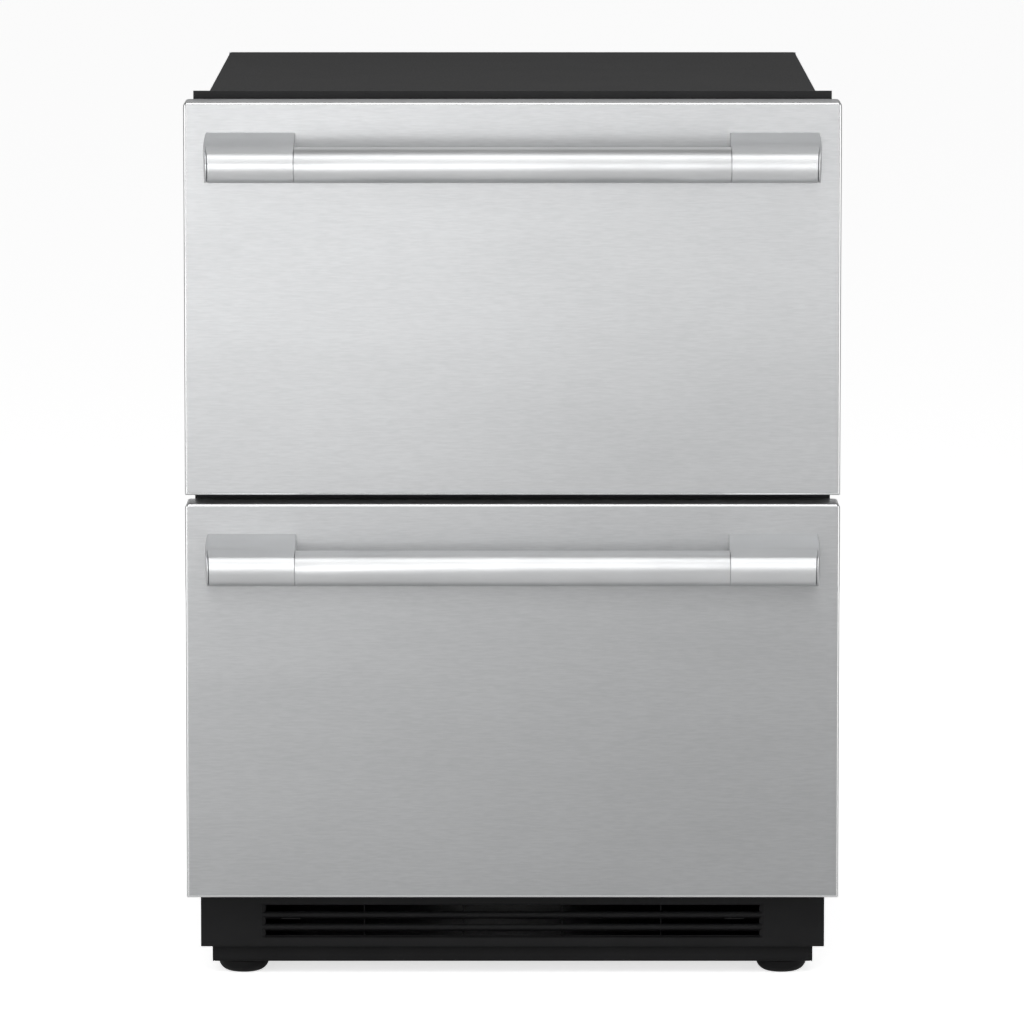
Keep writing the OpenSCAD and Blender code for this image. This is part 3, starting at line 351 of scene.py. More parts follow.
# Every finish starts here: two close colours, a roughness that wanders between two values, and a fine
# relief. The sizes of patches and grains and the relief's height are in millimetres.
def startMaterial(name, colours, patch, grain, roughness, relief, metallic=0.0, ior=None, specular=None,
                  seed=1.0):
    material = bpy.data.materials.new(name)
    material.use_nodes = True
    tree = material.node_tree
    tree.nodes.clear()
    fine = grains(tree, grain, 2.0, seed + 5)
    share = addNode(tree, "MapRange", {"Value": grains(tree, patch, 3.0, seed), **noiseSpan})
    rough = addNode(tree, "MapRange", {"Value": fine, **noiseSpan, "To Min": roughness[0],
                                       "To Max": roughness[1]})
    tint = addNode(tree, "MixRGB", {"Fac": share.outputs[0], "Color1": hexColour(colours[0]),
                                    "Color2": hexColour(colours[1])})
    bump = addNode(tree, "Bump", {"Height": fine, "Strength": 1.0, "Distance": relief * mm})
    given = {"Metallic": metallic, "IOR": ior, "Specular IOR Level": specular}
    shade = addNode(tree, "BsdfPrincipled", {
        "Base Color": tint.outputs[0], "Roughness": rough.outputs[0], "Normal": bump.outputs[0],
        **{socket: value for socket, value in given.items() if value is not None}})
    addNode(tree, "OutputMaterial", {"Surface": shade.outputs[0]})
    return material, tree, shade


# A finish that needs nothing more.
def plainFinish(name, **look):
    return startMaterial(name, **look)[0]


# Puts a third colour over a finish where a mask is high.
def overlay(tree, shade, mask, colour, amount):
    below = shade.inputs["Base Color"].links[0].from_socket
    strength = addNode(tree, "Math", {0: mask, 1: amount}, operation="MULTIPLY").outputs[0]
    mixed = addNode(tree, "MixRGB", {"Fac": strength, "Color1": below, "Color2": hexColour(colour)})
    tree.links.new(mixed.outputs[0], shade.inputs["Base Color"])


# Spreads the highlight across the grain, whose direction the UV map gives.
def brush(tree, shade, amount):
    shade.inputs["Anisotropic"].default_value = amount
    tangent = addNode(tree, "Tangent", direction_type="UV_MAP", uv_map="grain")
    tree.links.new(tangent.outputs[0], shade.inputs["Tangent"])


# 304 stainless sheet, brushed along its width with a fine belt: straight streaks, and a highlight that
# spreads up and down across them. Real streaks are about 0.1 mm apart; they are drawn about 1 mm apart to
# show. The folds, whose normals lie between the face's and the sides', get a painted highlight: their colour
# is mixed towards near white, and their roughness is a little lower.
def brushedStainlessSheet():
    material, tree, shade = startMaterial(
        "brushed_stainless_sheet", colours=("#babbbc", "#bebfc0"), metallic=1.0, patch=(220, 220, 60),
        grain=(18, 18, 0.9), roughness=(0.30, 0.35), relief=0.006)
    streak = addNode(tree, "MapRange", {"Value": grains(tree, (11, 11, 1.2), 3.0, seed=9.0), **noiseSpan})
    overlay(tree, shade, streak.outputs[0], "#8f9092", 0.2)
    # the normal's Y part: 1 on the face, 0 on the sides, and between these two on a fold
    normal = addNode(tree, "SeparateXYZ", {"Vector": addNode(tree, "NewGeometry").outputs["Normal"]})
    facing = addNode(tree, "Math", {0: normal.outputs["Y"]}, operation="ABSOLUTE").outputs[0]
    bent = addNode(tree, "MapRange", {"Value": facing, "From Min": 0.9995, "From Max": 0.975}).outputs[0]
    near = addNode(tree, "MapRange", {"Value": facing, "From Min": 0.4, "From Max": 0.8}).outputs[0]
    fold = addNode(tree, "Math", {0: bent, 1: near}, operation="MULTIPLY").outputs[0]
    # painted highlight: the folds' colour is mixed most of the way to near white
    overlay(tree, shade, fold, "#f6f7f7", 0.9)
    rough = shade.inputs["Roughness"].links[0].from_socket
    rough = addNode(tree, "Math", {0: fold, 1: -0.1, 2: rough}, operation="MULTIPLY_ADD").outputs[0]
    tree.links.new(rough, shade.inputs["Roughness"])
    brush(tree, shade, 0.75)
    return material


# Stainless tube and castings, satin polished along their length: brighter and smoother than the sheet.
def satinStainless():
    material, tree, shade = startMaterial(
        "satin_stainless", colours=("#d2d3d4", "#d9dadb"), metallic=1.0, patch=(60, 60, 60),
        grain=(30, 0.8, 0.8), roughness=(0.28, 0.34), relief=0.0015)
    brush(tree, shade, 0.7)
    return material


# Hot-dip galvanised sheet: zinc crystals of 4 to 9 mm, each with its own grey and its own sheen.
def galvanisedSheet():
    material, tree, shade = startMaterial(
        "galvanised_sheet", colours=("#aeb1b3", "#bcbfc1"), metallic=1.0, patch=30, grain=0.6,
        roughness=(0.34, 0.4), relief=0.004, seed=9.0)
    place = addNode(tree, "TexCoord").outputs["Object"]
    scaled = addNode(tree, "Mapping", {"Vector": place, "Scale": (1 / (7 * mm),) * 3}, vector_type="POINT")
    crystal = addNode(tree, "TexVoronoi", {"Vector": scaled.outputs[0], "Scale": 1.0, "Randomness": 1.0})
    grey = addNode(tree, "SeparateColor", {"Color": crystal.outputs["Color"]}).outputs[0]
    overlay(tree, shade, grey, "#d6dadc", 0.6)
    sheen = addNode(tree, "MapRange", {"Value": grey, "To Min": 0.30, "To Max": 0.48}).outputs[0]
    tree.links.new(sheen, shade.inputs["Roughness"])
    return material


# Drawn copper tube: bright where it was drawn, with brown oxide in cloudy patches.
def drawnCopper():
    material, tree, shade = startMaterial(
        "drawn_copper", colours=("#c0754f", "#d8936b"), metallic=1.0, patch=14, grain=0.9,
        roughness=(0.2, 0.34), relief=0.004, seed=11.0)
    oxide = addNode(tree, "MapRange", {"Value": grains(tree, 22, 4.0, seed=21.0), **noiseSpan})
    overlay(tree, shade, oxide.outputs[0], "#6d4230", 0.55)
    return material


# Rigid polyurethane foam: skin with open cells of about 1 mm.
def rigidFoam():
    material, tree, shade = startMaterial(
        "polyurethane_foam", colours=("#d8c68e", "#e8dcae"), patch=25, grain=0.9, roughness=(0.85, 0.95),
        relief=0.15, ior=1.4, seed=13.0)
    cells = addNode(tree, "MapRange", {"Value": grains(tree, 1.1, 2.0, seed=31.0), **noiseSpan,
                                       "To Min": 1.0, "To Max": 0.0})
    overlay(tree, shade, cells.outputs[0], "#b39c5e", 0.4)
    return material


# Frosted polycarbonate: light goes a little way in and comes out softened.
def frostedLens():
    material, _, shade = startMaterial(
        "frosted_polycarbonate", colours=("#f1f1ee", "#f8f8f5"), patch=30, grain=0.6, roughness=(0.3, 0.4),
        relief=0.01, ior=1.58, seed=14.0)
    shade.inputs["Subsurface Weight"].default_value = 0.35
    shade.inputs["Subsurface Scale"].default_value = 2 * mm
    shade.inputs["Subsurface Radius"].default_value = (1.0, 1.0, 1.0)
    return material


finishes = {
    # steel coated before bending: a thin black satin film with a faint orange peel and dull handling marks
    "black_steel": plainFinish("precoated_black_steel", colours=("#1a1a1b", "#1f1f20"), patch=70, grain=1.6,
                               roughness=(0.58, 0.68), relief=0.012, ior=1.45, specular=0.22, seed=2.0),
    # the same steel with a semi-gloss powder coat
    "black_trim": plainFinish("powder_coated_steel", colours=("#1e1e1f", "#242425"), patch=60, grain=1.1,
                              roughness=(0.42, 0.52), relief=0.015, ior=1.45, specular=0.35, seed=3.0),
    # stove enamel, glossy, that ran smooth in the oven
    "black_enamel": plainFinish("black_stove_enamel", colours=("#141415", "#1a1a1b"), patch=40, grain=3.0,
                                roughness=(0.14, 0.22), relief=0.01, ior=1.55, seed=4.0),
    # moulded polypropylene with a spark-eroded texture
    "black_plastic": plainFinish("black_polypropylene", colours=("#151516", "#1a1a1b"), patch=50, grain=0.5,
                                 roughness=(0.5, 0.6), relief=0.02, ior=1.49, specular=0.22, seed=5.0),
    # glass-filled polyamide: a little mottled by the fibres near its surface
    "dark_plastic": plainFinish("grey_polyamide", colours=("#3a3b3d", "#454649"), patch=6, grain=0.5,
                                roughness=(0.4, 0.5), relief=0.015, ior=1.53, seed=6.0),
    # polystyrene sheet drawn into a mould: satin, slightly uneven where it stretched
    "liner_plastic": plainFinish("drawn_polystyrene", colours=("#dfe1e2", "#e7e9ea"), patch=90, grain=1.8,
                                 roughness=(0.34, 0.42), relief=0.02, ior=1.59, seed=7.0),
    # injection-moulded polystyrene: smoother, with faint flow marks along its walls
    "bin_plastic": plainFinish("moulded_polystyrene", colours=("#e9eaea", "#f0f0f0"), patch=(120, 120, 30),
                               grain=2.5, roughness=(0.24, 0.32), relief=0.008, ior=1.59, seed=8.0),
    # mill-finish aluminium, rolled: fine lines up and down the fins
    "aluminium_fins": plainFinish("mill_aluminium", colours=("#c4c6c8", "#d8dadb"), metallic=1.0, patch=20,
                                  grain=(0.6, 0.6, 8), roughness=(0.3, 0.42), relief=0.006, seed=10.0),
    # extruded soft rubber, matt, with a slight bloom
    "rubber": plainFinish("soft_seal_rubber", colours=("#868889", "#949698"), patch=40, grain=0.7,
                          roughness=(0.62, 0.74), relief=0.02, ior=1.52, seed=12.0),
    "zinc_steel": galvanisedSheet(),
    "copper": drawnCopper(),
    "foam": rigidFoam(),
    "lens": frostedLens(),
    "stainless": brushedStainlessSheet(),
    "handle_steel": satinStainless(),
}
for name, obj in nodes.items():
    obj.data.materials.clear()
    obj.data.materials.append(finishes[slotOf[name]])
print("materials ready")


# Drawer fronts.

front = inMm(skinT=1.0, foldR=2.4, cornerR=np.array([4.0, 4.0, 1.2, 1.2]), ease=0.6)


# Folded pan: a rounded rectangle carried from the inside of the face, round the return's edge, to the
# outer face. Its upper corners are welded and rounded, its lower ones are nearly square.
def frontSkin(level):
    node = level + "_front_skin"
    lo, hi = corners(node)
    middle, half = middleAndHalf(node)
    t, r, depth = front["skinT"], front["foldR"], hi[1] - lo[1]
    fold = arc((r, r), r, 180, 270, 8)
    innerFold = arc((r, r), r - t, 270, 180, 5)
    edge = arc((t / 2, depth - t / 2), t / 2, 0, 180, 6)
    profile = np.concatenate([[(r + front["ease"], t)], innerFold, edge, fold, [(r + front["ease"], 0)]])
    profile = [(i, lo[1] + d) for i, d in profile]
    shell = tray(middle[[0, 2]], half[[0, 2]], front["cornerR"], profile, "xz")
    makePiece(level + "_front_pan", shell, node)


# Handles.

handle = inMm(wall=2.0, sag=1.2, rise=26.5, dome=3.0, edge=0.35, grooveDepth=1.6, grooveWidth=1.2,
              endIn=3.4, inner=0.7)


# Tube about the x axis: a rounded rectangle of wall by length, turned about the bar's axis.
def handleBar(level):
    node = level + "_handle_bar"
    middle, half = middleAndHalf(node)
    wall = roundedRect(handle["wall"] / 2, half[0], handle["edge"], 3)
    wall[:, 0] += half[2] - handle["wall"] / 2
    makePiece(level + "_grip_tube", turned(wall, [0, *middle[1:]], "x", sides=96, wrap=True), node)


# Bracket, drawn for the right end. Its side view is the bar's circle, a hollow web up to the face and a
# flat underside. The outer end lies on a ball whose centre is level with the middle of that side view. Just
# inside that end a narrow groove follows the circle.
def handleBracket(level, side):
    start = corners(level + "_handle_bar")[1][0]
    (_, axisY, axisZ), (_, _, r) = middleAndHalf(level + "_handle_bar")
    hi = corners(level + "_handle_bracket_right")[1]
    end, faceY = hi[0] - handle["endIn"], hi[1]
    out = faceY - axisY
    s = np.linspace(0, 1, 13)[1:]
    meetY, meetZ = -out - r * math.cos(math.pi / 4), r * math.sin(math.pi / 4)
    rise = meetZ * (1 - s) + handle["rise"] * s - handle["sag"] * 4 * s * (1 - s)
    web = np.stack([meetY * (1 - s), rise], -1)
    circle = arc((-out, 0), r, 270, 135, 40)
    outline = np.concatenate([[(0, -r)], [(-out / 2, -r)], circle, web])
    outline = outline + np.array([faceY, axisZ])
    ballR = ((handle["rise"] + r) ** 2 + handle["dome"] ** 2) / (2 * handle["dome"])
    centre = np.array([faceY - out / 2, axisZ + (handle["rise"] - r) / 2])

    # height of the ball over each point of the end: x = end - R + sqrt(R^2 - distance^2)
    def onBall(flat, back=0.0):
        far = np.sum((flat - centre) ** 2, 1)
        x = end - ballR + np.sqrt(ballR ** 2 - far) - back
        return np.stack([x, flat[:, 0], flat[:, 1]], -1)

    onCircle = np.clip((axisZ + 1.05 * r - outline[:, 1]) / (0.25 * r), 0, 1)[:, None]
    sunk = outline + (shrink(outline, handle["grooveDepth"]) - outline) * onCircle
    width, inner = handle["grooveWidth"], handle["inner"]
    rings = [lift(shrink(outline, inner), start, "yz"), lift(outline, start + inner, "yz"),
             onBall(outline, 2 * width), onBall(sunk, 1.5 * width), onBall(outline, width),
             onBall(outline, handle["edge"])]
    rings += [onBall(centre + (outline - centre) * scale) for scale in (0.985, 0.8, 0.5, 0.2)]
    shell = outward(skinRings(rings))
    shell = mirrored(shell) if side == "left" else shell
    makePiece(f"{level}_grip_end_{side}", shell, f"{level}_handle_bracket_{side}")


for level in ("upper", "lower"):
    frontSkin(level)
    handleBar(level)
    handleBracket(level, "left")
    handleBracket(level, "right")
print("fronts and handles made")


# Kick plate, base and feet.

kick = inMm(wall=2.5, round=0.8, windowHalf=231.7, windowLow=9.4, slotH=6.1, slatH=5.7, endBevel=3.0,
            lip=0.8, slatFall=2.5, slatEdge=2.0, tabIn=15, tabW=18, tabD=6, tabT=1, ribT=1.0, ribD=1.8)
kick |= {"slots": 3, "ribs": 5}


# Hollow surround: rounded rectangles carried from the back edge over the front face into the bevelled
# window, and back along the inside. Slats have a round nose and fall away backwards, like a louvre's blades.
def kickPlate():
    lo, hi = corners("kick_plate")
    depth, half = hi[1] - lo[1], hi[0]
    t, e = kick["wall"], kick["round"]
    pitch = kick["slotH"] + kick["slatH"]
    low = lo[2] + kick["windowLow"]
    top = low + kick["slots"] * pitch - kick["slatH"]
    centre = np.array([0, (lo[2] + hi[2]) / 2])
    window = np.array([0, (low + top) / 2])
    outer, inner = (half, (hi[2] - lo[2]) / 2), (kick["windowHalf"], (top - low) / 2)
    bevel, lip = kick["endBevel"], kick["lip"]
    turn = np.linspace(0, math.pi / 2, 5)
    rows = [(centre, outer, 0, depth)]
    rows += [(centre, outer, e * (1 - math.cos(a)), e * (1 - math.sin(a))) for a in turn]
    rows.append((centre, outer, e + 0.5 * mm, 0))
    rows += [(window, (inner[0] + bevel + ease, inner[1] + lip + ease / 3), 0, back)
             for ease, back in ((1 * mm, 0), (0.3 * mm, 0.05 * mm), (0, 0.3 * mm))]
    rows += [(window, inner, 0, t - 0.2 * mm), (window, (inner[0] + 0.3 * mm, inner[1] + 0.3 * mm), 0, t)]
    rows += [(centre, outer, t, t), (centre, outer, t, depth)]
    rings = [lift(roundedRect(h[0] - i, h[1] - i, 0.6 * mm, 3) + c, lo[1] + d, "xz") for c, h, i, d in rows]
    shells = [outward(skinRings(rings, wrap=True))]
    nose, back = kick["slatH"] / 2, lo[1] + depth - 1 * mm
    reach = kick["windowHalf"] + bevel + 0.2 * mm
    for n in range(1, kick["slots"]):
        z = low + n * pitch - kick["slatH"]
        under = z - kick["slatFall"]
        blade = np.concatenate([arc((lo[1] + nose, z + nose), nose, 80, 262, 12),
                                [(back, under), (back, under + kick["slatEdge"])]])
        shells.append(prism(blade, "yz", -reach, reach, 0.1 * mm, 1))
    rib = roundedRect(kick["ribD"] / 2, inner[1] + 4 * mm, 0.4 * mm, 2)
    rib = rib + [lo[1] + depth - 1.2 * mm, window[1]]
    for n in range(kick["ribs"] + 1):
        x = kick["windowHalf"] * (2 * n / kick["ribs"] - 1)
        shells.append(prism(rib, "yz", x - kick["ribT"] / 2, x + kick["ribT"] / 2, 0.2 * mm))
    tabZ = low + pitch + kick["slotH"] - 0.9 * mm
    for side in (-1, 1):
        x = side * (kick["windowHalf"] - kick["tabIn"] - kick["tabW"] / 2)
        tab = roundedRect(kick["tabW"] / 2, kick["tabD"] / 2, 0.8 * mm, 3) + [x, lo[1] + 4.6 * mm]
        shells.append(prism(tab, "xy", tabZ - kick["tabT"] / 2, tabZ + kick["tabT"] / 2, 0.2 * mm))
    makePiece("louvred_kick_plate", joined(*shells), "kick_plate")


base = inMm(sheet=2, lipH=25, cornerR=3, bendR=2.4, bossR=9, bossH=14, hole=5.3)
feet = ["foot_front_left", "foot_front_right", "foot_rear_left", "foot_rear_right"]


# One bent sheet: the lip at the front, a bend, and the floor. Near its lower corners the lip comes in along
# a quarter circle: half width - R + sqrt(R^2 - (R - height)^2). Each boss is a turned ring.
def basePan():
    lo, hi = corners("base_pan")
    t, half, e = base["sheet"], hi[0], 0.3 * mm
    line = roundCorners([(lo[1] + t / 2, lo[2] + base["lipH"]), (lo[1] + t / 2, lo[2] + t / 2),
                         (hi[1], lo[2] + t / 2)], base["bendR"], 5, closed=False)
    outline = sheetOutline(line, t)
    down = np.clip(base["cornerR"] - (outline[:, 1] - lo[2]), 0, None)
    reach = half - base["cornerR"] + np.sqrt(base["cornerR"] ** 2 - down ** 2)
    reach = np.where(outline[:, 0] > lo[1] + 2 * t, half - 1 * mm, reach)
    rings = [lift(shrink(outline, ease), side * (reach - e + ease), "yz") for side, ease in
             ((-1, e), (-1, 0), (1, 0), (1, e))]
    shells = [outward(skinRings(rings))]
    bossR, bossH, hole = base["bossR"], base["bossH"], base["hole"]
    wall = [(hole, t / 2), (bossR, t / 2), (bossR, bossH - 0.5 * mm), (bossR - 0.5 * mm, bossH),
            (hole + e, bossH), (hole, bossH - e)]
    for name in feet:
        x, y = middleAndHalf(name)[0][:2]
        shells.append(turned(wall, [x, y, lo[2] + t / 2], "z", 40, wrap=True))
    makePiece("bent_base_pan", joined(*shells), "base_pan")


foot = inMm(flatR=11, stemR=5, rim=1, padH=12, shoulder=4, pitch=1.5, threadH=0.45)


# Pad turned about its axis: a bowl, a rim and a flat top. The stem's thread is a grid of height and angle:
# r = stem radius - thread height * wave(height / pitch - angle / turn).
def levellingFoot(node):
    lo, hi = corners(node)
    (x, y, _), (r, _, _) = middleAndHalf(node)
    flatR, padH, stemR = foot["flatR"], foot["padH"], foot["stemR"]
    a = np.radians(np.linspace(0, 90, 15))
    bowl = np.stack([flatR + (r - flatR) * np.sin(a), (padH - foot["rim"]) * (1 - np.cos(a))], -1)
    top = [(r, padH - 0.3 * mm), (r - 0.3 * mm, padH), (stemR + foot["shoulder"], padH),
           (stemR - foot["threadH"], padH)]
    pad = turned(np.concatenate([[(flatR * 0.6, 0.0)], bowl, top]), [x, y, lo[2]], "z", 64)
    sides, perTurn = 24, 8
    height = np.arange(padH - 1 * mm, hi[2] - lo[2] - 1 * mm, foot["pitch"] / perTurn)
    angle = np.linspace(0, 2 * math.pi, sides, endpoint=False)
    phase = np.mod(height[:, None] / foot["pitch"] - angle / (2 * math.pi), 1)
    radius = stemR - foot["threadH"] * np.abs(2 * phase - 1)
    rings = np.stack([x + radius * np.cos(angle), y + radius * np.sin(angle),
                      np.broadcast_to(lo[2] + height[:, None], radius.shape)], -1)
    tip = rings[-1] + np.array([0, 0, 1 * mm])
    tip[:, :2] = [x, y] + (tip[:, :2] - [x, y]) * 0.8
    stem = outward(skinRings(np.concatenate([rings, tip[None]])))
    makePiece(node + "_pad", joined(pad, stem), node, smooth=40)


kickPlate()
basePan()
for name in feet:
    levellingFoot(name)
print("kick plate, base and feet made")


# Cabinet.

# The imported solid's own mesh, merged, with its flat faces joined and its edges rounded by a live bevel.
def easedCopy(node, name, width, segments=2, angle=30):
    mesh = nodes[node].data.copy()
    mesh.name = name
    work = bmesh.new()
    work.from_mesh(mesh)
    bmesh.ops.remove_doubles(work, verts=work.verts, dist=0.01 * mm)
    bmesh.ops.dissolve_limit(work, angle_limit=math.radians(1), verts=work.verts, edges=work.edges)
    work.to_mesh(mesh)
    work.free()
    for attribute in [a for a in mesh.attributes if a.name == "custom_normal"]:
        mesh.attributes.remove(attribute)
    shadeSmooth(mesh, angle)
    mesh.materials.clear()
    bevel = standFor(node, name, mesh).modifiers.new("bevel", "BEVEL")
    bevel.width, bevel.segments, bevel.limit_method = width, segments, "ANGLE"
    bevel.angle_limit, bevel.harden_normals = math.radians(angle), True


wrap = inMm(sheet=1, bendR=3, step=10)


# Sheet bent over the sides and the top; below the fronts' lower edge its front edge steps back.
def outerWrap():
    lo, hi = corners("outer_wrap")
    stepZ = corners("lower_front_skin")[0][2]
    x = hi[0] - wrap["sheet"] / 2
    top = hi[2] - wrap["sheet"] / 2
    line = roundCorners([(-x, lo[2]), (-x, top), (x, top), (x, lo[2])], wrap["bendR"], 8, closed=False)
    step = np.array([[-x, stepZ - 0.01 * mm], [-x, stepZ]])
    line = np.concatenate([line[:1], step, line[1:-1], step[::-1] * [-1, 1], line[-1:]])
    frontY = np.where(line[:, 1] < stepZ, lo[1] + wrap["step"], lo[1])
    makePiece("bent_outer_wrap", ribbon(line, wrap["sheet"], frontY, hi[1], "xz"), "outer_wrap", smooth=40)


outerWrap()
easedCopy("face_frame", "flanged_face_frame", 0.4 * mm)
easedCopy("rear_panel", "ribbed_rear_panel", 0.25 * mm)
easedCopy("rear_cover", "vented_rear_cover", 0.25 * mm)
easedCopy("mullion_rail", "mullion_cover", 1.0 * mm)
easedCopy("inner_liner", "drawn_liner", 0.5 * mm)
easedCopy("evaporator_cover", "evaporator_duct_cover", 0.5 * mm)
easedCopy("control_housing", "control_cover", 1.5 * mm, segments=3)
print("cabinet made")


# Inside of the drawers.

seal = inMm(reach=13, middle=7, cornerR=11)
# Half of the seal's section, as (half width, share of its depth): a foot, a bellows, the magnet's pocket.
sealHalf = np.array([(5.6, 0.0), (6.0, 0.05), (6.0, 0.34), (5.6, 0.39), (3.4, 0.42), (2.9, 0.48),
                     (4.0, 0.56), (4.0, 0.60), (2.9, 0.68), (3.1, 0.72), (3.9, 0.76), (4.0, 0.80),
                     (4.0, 0.96), (3.6, 1.0)])


# Centre and half sizes of the cabinet's opening behind a front, inside the seal's inner edge.
def opening(level):
    middle, half = middleAndHalf(level + "_gasket")
    return middle[[0, 2]], half[[0, 2]] - seal["reach"]


# Closed section carried round the opening.
def gasket(level):
    lo, hi = corners(level + "_gasket")
    centre, half = opening(level)
    depth = lo[1] + sealHalf[:, 1] * (hi[1] - lo[1])
    loop = np.concatenate([np.stack([-sealHalf[:, 0] * mm, depth], -1),
                           np.stack([sealHalf[:, 0] * mm, depth], -1)[::-1]])
    shell = tray(centre, half + seal["middle"], seal["cornerR"], loop, "xz", wrap=True)
    makePiece(level + "_magnetic_seal", shell, level + "_gasket", smooth=50)


panel = inMm(wall=2.5, gap=6, cornerR=10, flangeR=3, fillet=2.5, edge=3, recessIn=24, recess=1.2)


# Drawn sheet: flat flange, fillet, plug wall with a rounded rim, and a shallow recess in the plug's face.
def innerPanel(level):
    lo, hi = corners(level + "_front_panel")
    middle, flange = (v[[0, 2]] for v in middleAndHalf(level + "_front_panel"))
    centre, plug = opening(level)
    plug = plug - panel["gap"]
    t, f, e, r = panel["wall"], panel["fillet"], panel["edge"], panel["cornerR"]
    flangeR, ease, into = panel["flangeR"], 0.3 * mm, panel["recessIn"]
    flat, top = lo[1] + t, hi[1]
    inner, turn = plug - t, [(math.sin(a), math.cos(a)) for a in np.radians(np.linspace(0, 90, 6))]
    rows = [(centre, inner - e, r, top - t)]
    rows += [(centre, inner - e * (1 - u), r, top - t - e * (1 - v)) for u, v in turn[1:]]
    rows += [(centre, inner, r - t, lo[1]), (middle, flange - ease, flangeR, lo[1]),
             (middle, flange, flangeR, lo[1] + ease), (middle, flange, flangeR, flat - ease),
             (middle, flange - ease, flangeR, flat)]
    rows += [(centre, plug + f * (1 - u), r + f, flat + f * (1 - v)) for u, v in turn]
    rows += [(centre, plug - e * (1 - v), r - e * (1 - v), top - e * (1 - u)) for u, v in turn]
    rows += [(centre, plug - into - further, r, top - down) for further, down in
             ((0, 0), (1 * mm, ease), (2.5 * mm, panel["recess"]), (4 * mm, panel["recess"]))]
    makePiece(level + "_drawn_inner_panel", rectLoft(rows, "xz"), level + "_front_panel", smooth=40)


tub = inMm(wall=2.5, lip=3, rim=3, rimEase=0.8, cornerR=14, floorR=8, lean=1.2, stepIn=353, stepZ=278,
           fall=0.8)


# Moulded tub. Rounded rectangles climb from the middle of the floor to the rim and go down again inside.
# In the lower tub their rear side also moves back over the step, along the floor of the rear part.
def drawerTub(level):
    lo, hi = corners(level + "_bin")
    t, lip, r = tub["wall"], tub["lip"], tub["floorR"]
    half, top = hi[0] - lip, hi[2]
    front, rear = lo[1] + lip, hi[1] - lip
    stepY, stepZ = face + tub["stepIn"], tub["stepZ"]
    turn = [(math.sin(a), math.cos(a)) for a in np.radians(np.linspace(0, 90, 7))]

    # one row: sides in by i, rear side at y, at height z; the walls lean in by a little towards the floor
    def row(i, y, z, out=0.0):
        lean = tub["lean"] * (top - z) / (top - lo[2])
        a, b = front + i + lean - out, y - i - lean + out
        return (0, (a + b) / 2), (half - i - lean + out, (b - a) / 2), tub["cornerR"] - i + out, z

    # floor, step and wall, w inside the outer surface: 0 for the outside, the wall for the inside
    def climb(w):
        small, big = r - w, r + w
        near = stepY if level == "lower" else rear
        rows = [row(w + small * (1 - u), near, lo[2] + w + small * (1 - v)) for u, v in turn]
        if level == "lower":
            rows += [row(w, stepY + r - big + big * (1 - v) + w, stepZ - r + big * u) for u, v in turn]
            rows += [row(w, rear - small * (1 - u), stepZ + w + tub["fall"] + small * (1 - v))
                     for u, v in turn]
        return rows

    under, e = top - tub["rim"], tub["rimEase"]
    third = e * 0.3
    rim = [(0, under, 0), (0, under, lip - e), (0, under + third, lip - third), (0, under + e, lip),
           (0, top - e, lip), (0, top - third, lip - third), (0, top, lip - e), (t - e, top, 0),
           (t - third, top - third, 0), (t, top - e, 0)]
    rows = climb(0) + [row(i, rear, z, out) for i, z, out in rim] + climb(t)[::-1]
    makePiece(level + "_moulded_tub", rectLoft(rows, "xy", steps=8), level + "_bin", smooth=40)


carrierLook = inMm(sheet=2, tab=34, rearH=30, bendR=3, behind=3, slope=12)


# One sheet bent in plan: a tab at each front corner, the side plates and a lower bar behind the tub.
def carrier(level):
    lo, hi = corners(level + "_carrier")
    t = carrierLook["sheet"]
    x, y0 = hi[0] - t / 2, lo[1] + t / 2
    barY = corners(level + "_bin")[1][1] + carrierLook["behind"] + t / 2
    inner, slope = x - carrierLook["tab"], carrierLook["slope"]
    side = [(x, barY - slope * share) for share in (1, 1.25, 1.5, 1.75, 2)]
    right = [(x, barY), *side, (x, y0), (inner, y0)]
    line = np.array([(-u, v) for u, v in right[::-1]] + right)
    line = roundCorners(line, carrierLook["bendR"], 3, closed=False)
    behind = np.clip((line[:, 1] - (barY - 2 * slope)) / slope, 0, 1)
    high = hi[2] - (hi[2] - lo[2] - carrierLook["rearH"]) * behind * behind * (3 - 2 * behind)
    makePiece(level + "_bent_carrier", ribbon(line, t, lo[2], high, "xy"), level + "_carrier", smooth=40)


slide = inMm(sheet=1.4, web=1.2, bendR=2.2)


# Channel with rounded bends that opens towards the middle; the inner member has a plate on its open side.
def railMember(node, kind):
    lo, hi = corners(node)
    left = lo[0] < 0
    t, web, z = slide["sheet"], slide["web"], (lo[2] + hi[2]) / 2
    a, b = (-hi[0], -lo[0]) if left else (lo[0], hi[0])
    start, outer = a + web * (kind == "inner"), b - t / 2
    line = roundCorners([(start, hi[2] - t / 2), (outer, hi[2] - t / 2), (outer, lo[2] + t / 2),
                         (start, lo[2] + t / 2)], slide["bendR"], 5, closed=False)
    shells = [prism(sheetOutline(line, t), "xz", lo[1], hi[1], 0.2 * mm, 1)]
    if kind == "inner":
        plate = roundedRect(web / 2, (hi[2] - lo[2]) / 2, 0.2 * mm, 1) + [a + web / 2, z]
        shells.append(prism(plate, "xz", lo[1], hi[1], 0.2 * mm, 1))
    shell = joined(*shells)
    makePiece(node + "_rolled", mirrored(shell) if left else shell, node, smooth=40)


for level in ("upper", "lower"):
    gasket(level)
    innerPanel(level)
    drawerTub(level)
    carrier(level)
    for side in ("left", "right"):
        for kind in ("outer", "middle", "inner"):
            railMember(f"{level}_{side}_{kind}_rail", kind)
print("drawers made")


# Machine bay.

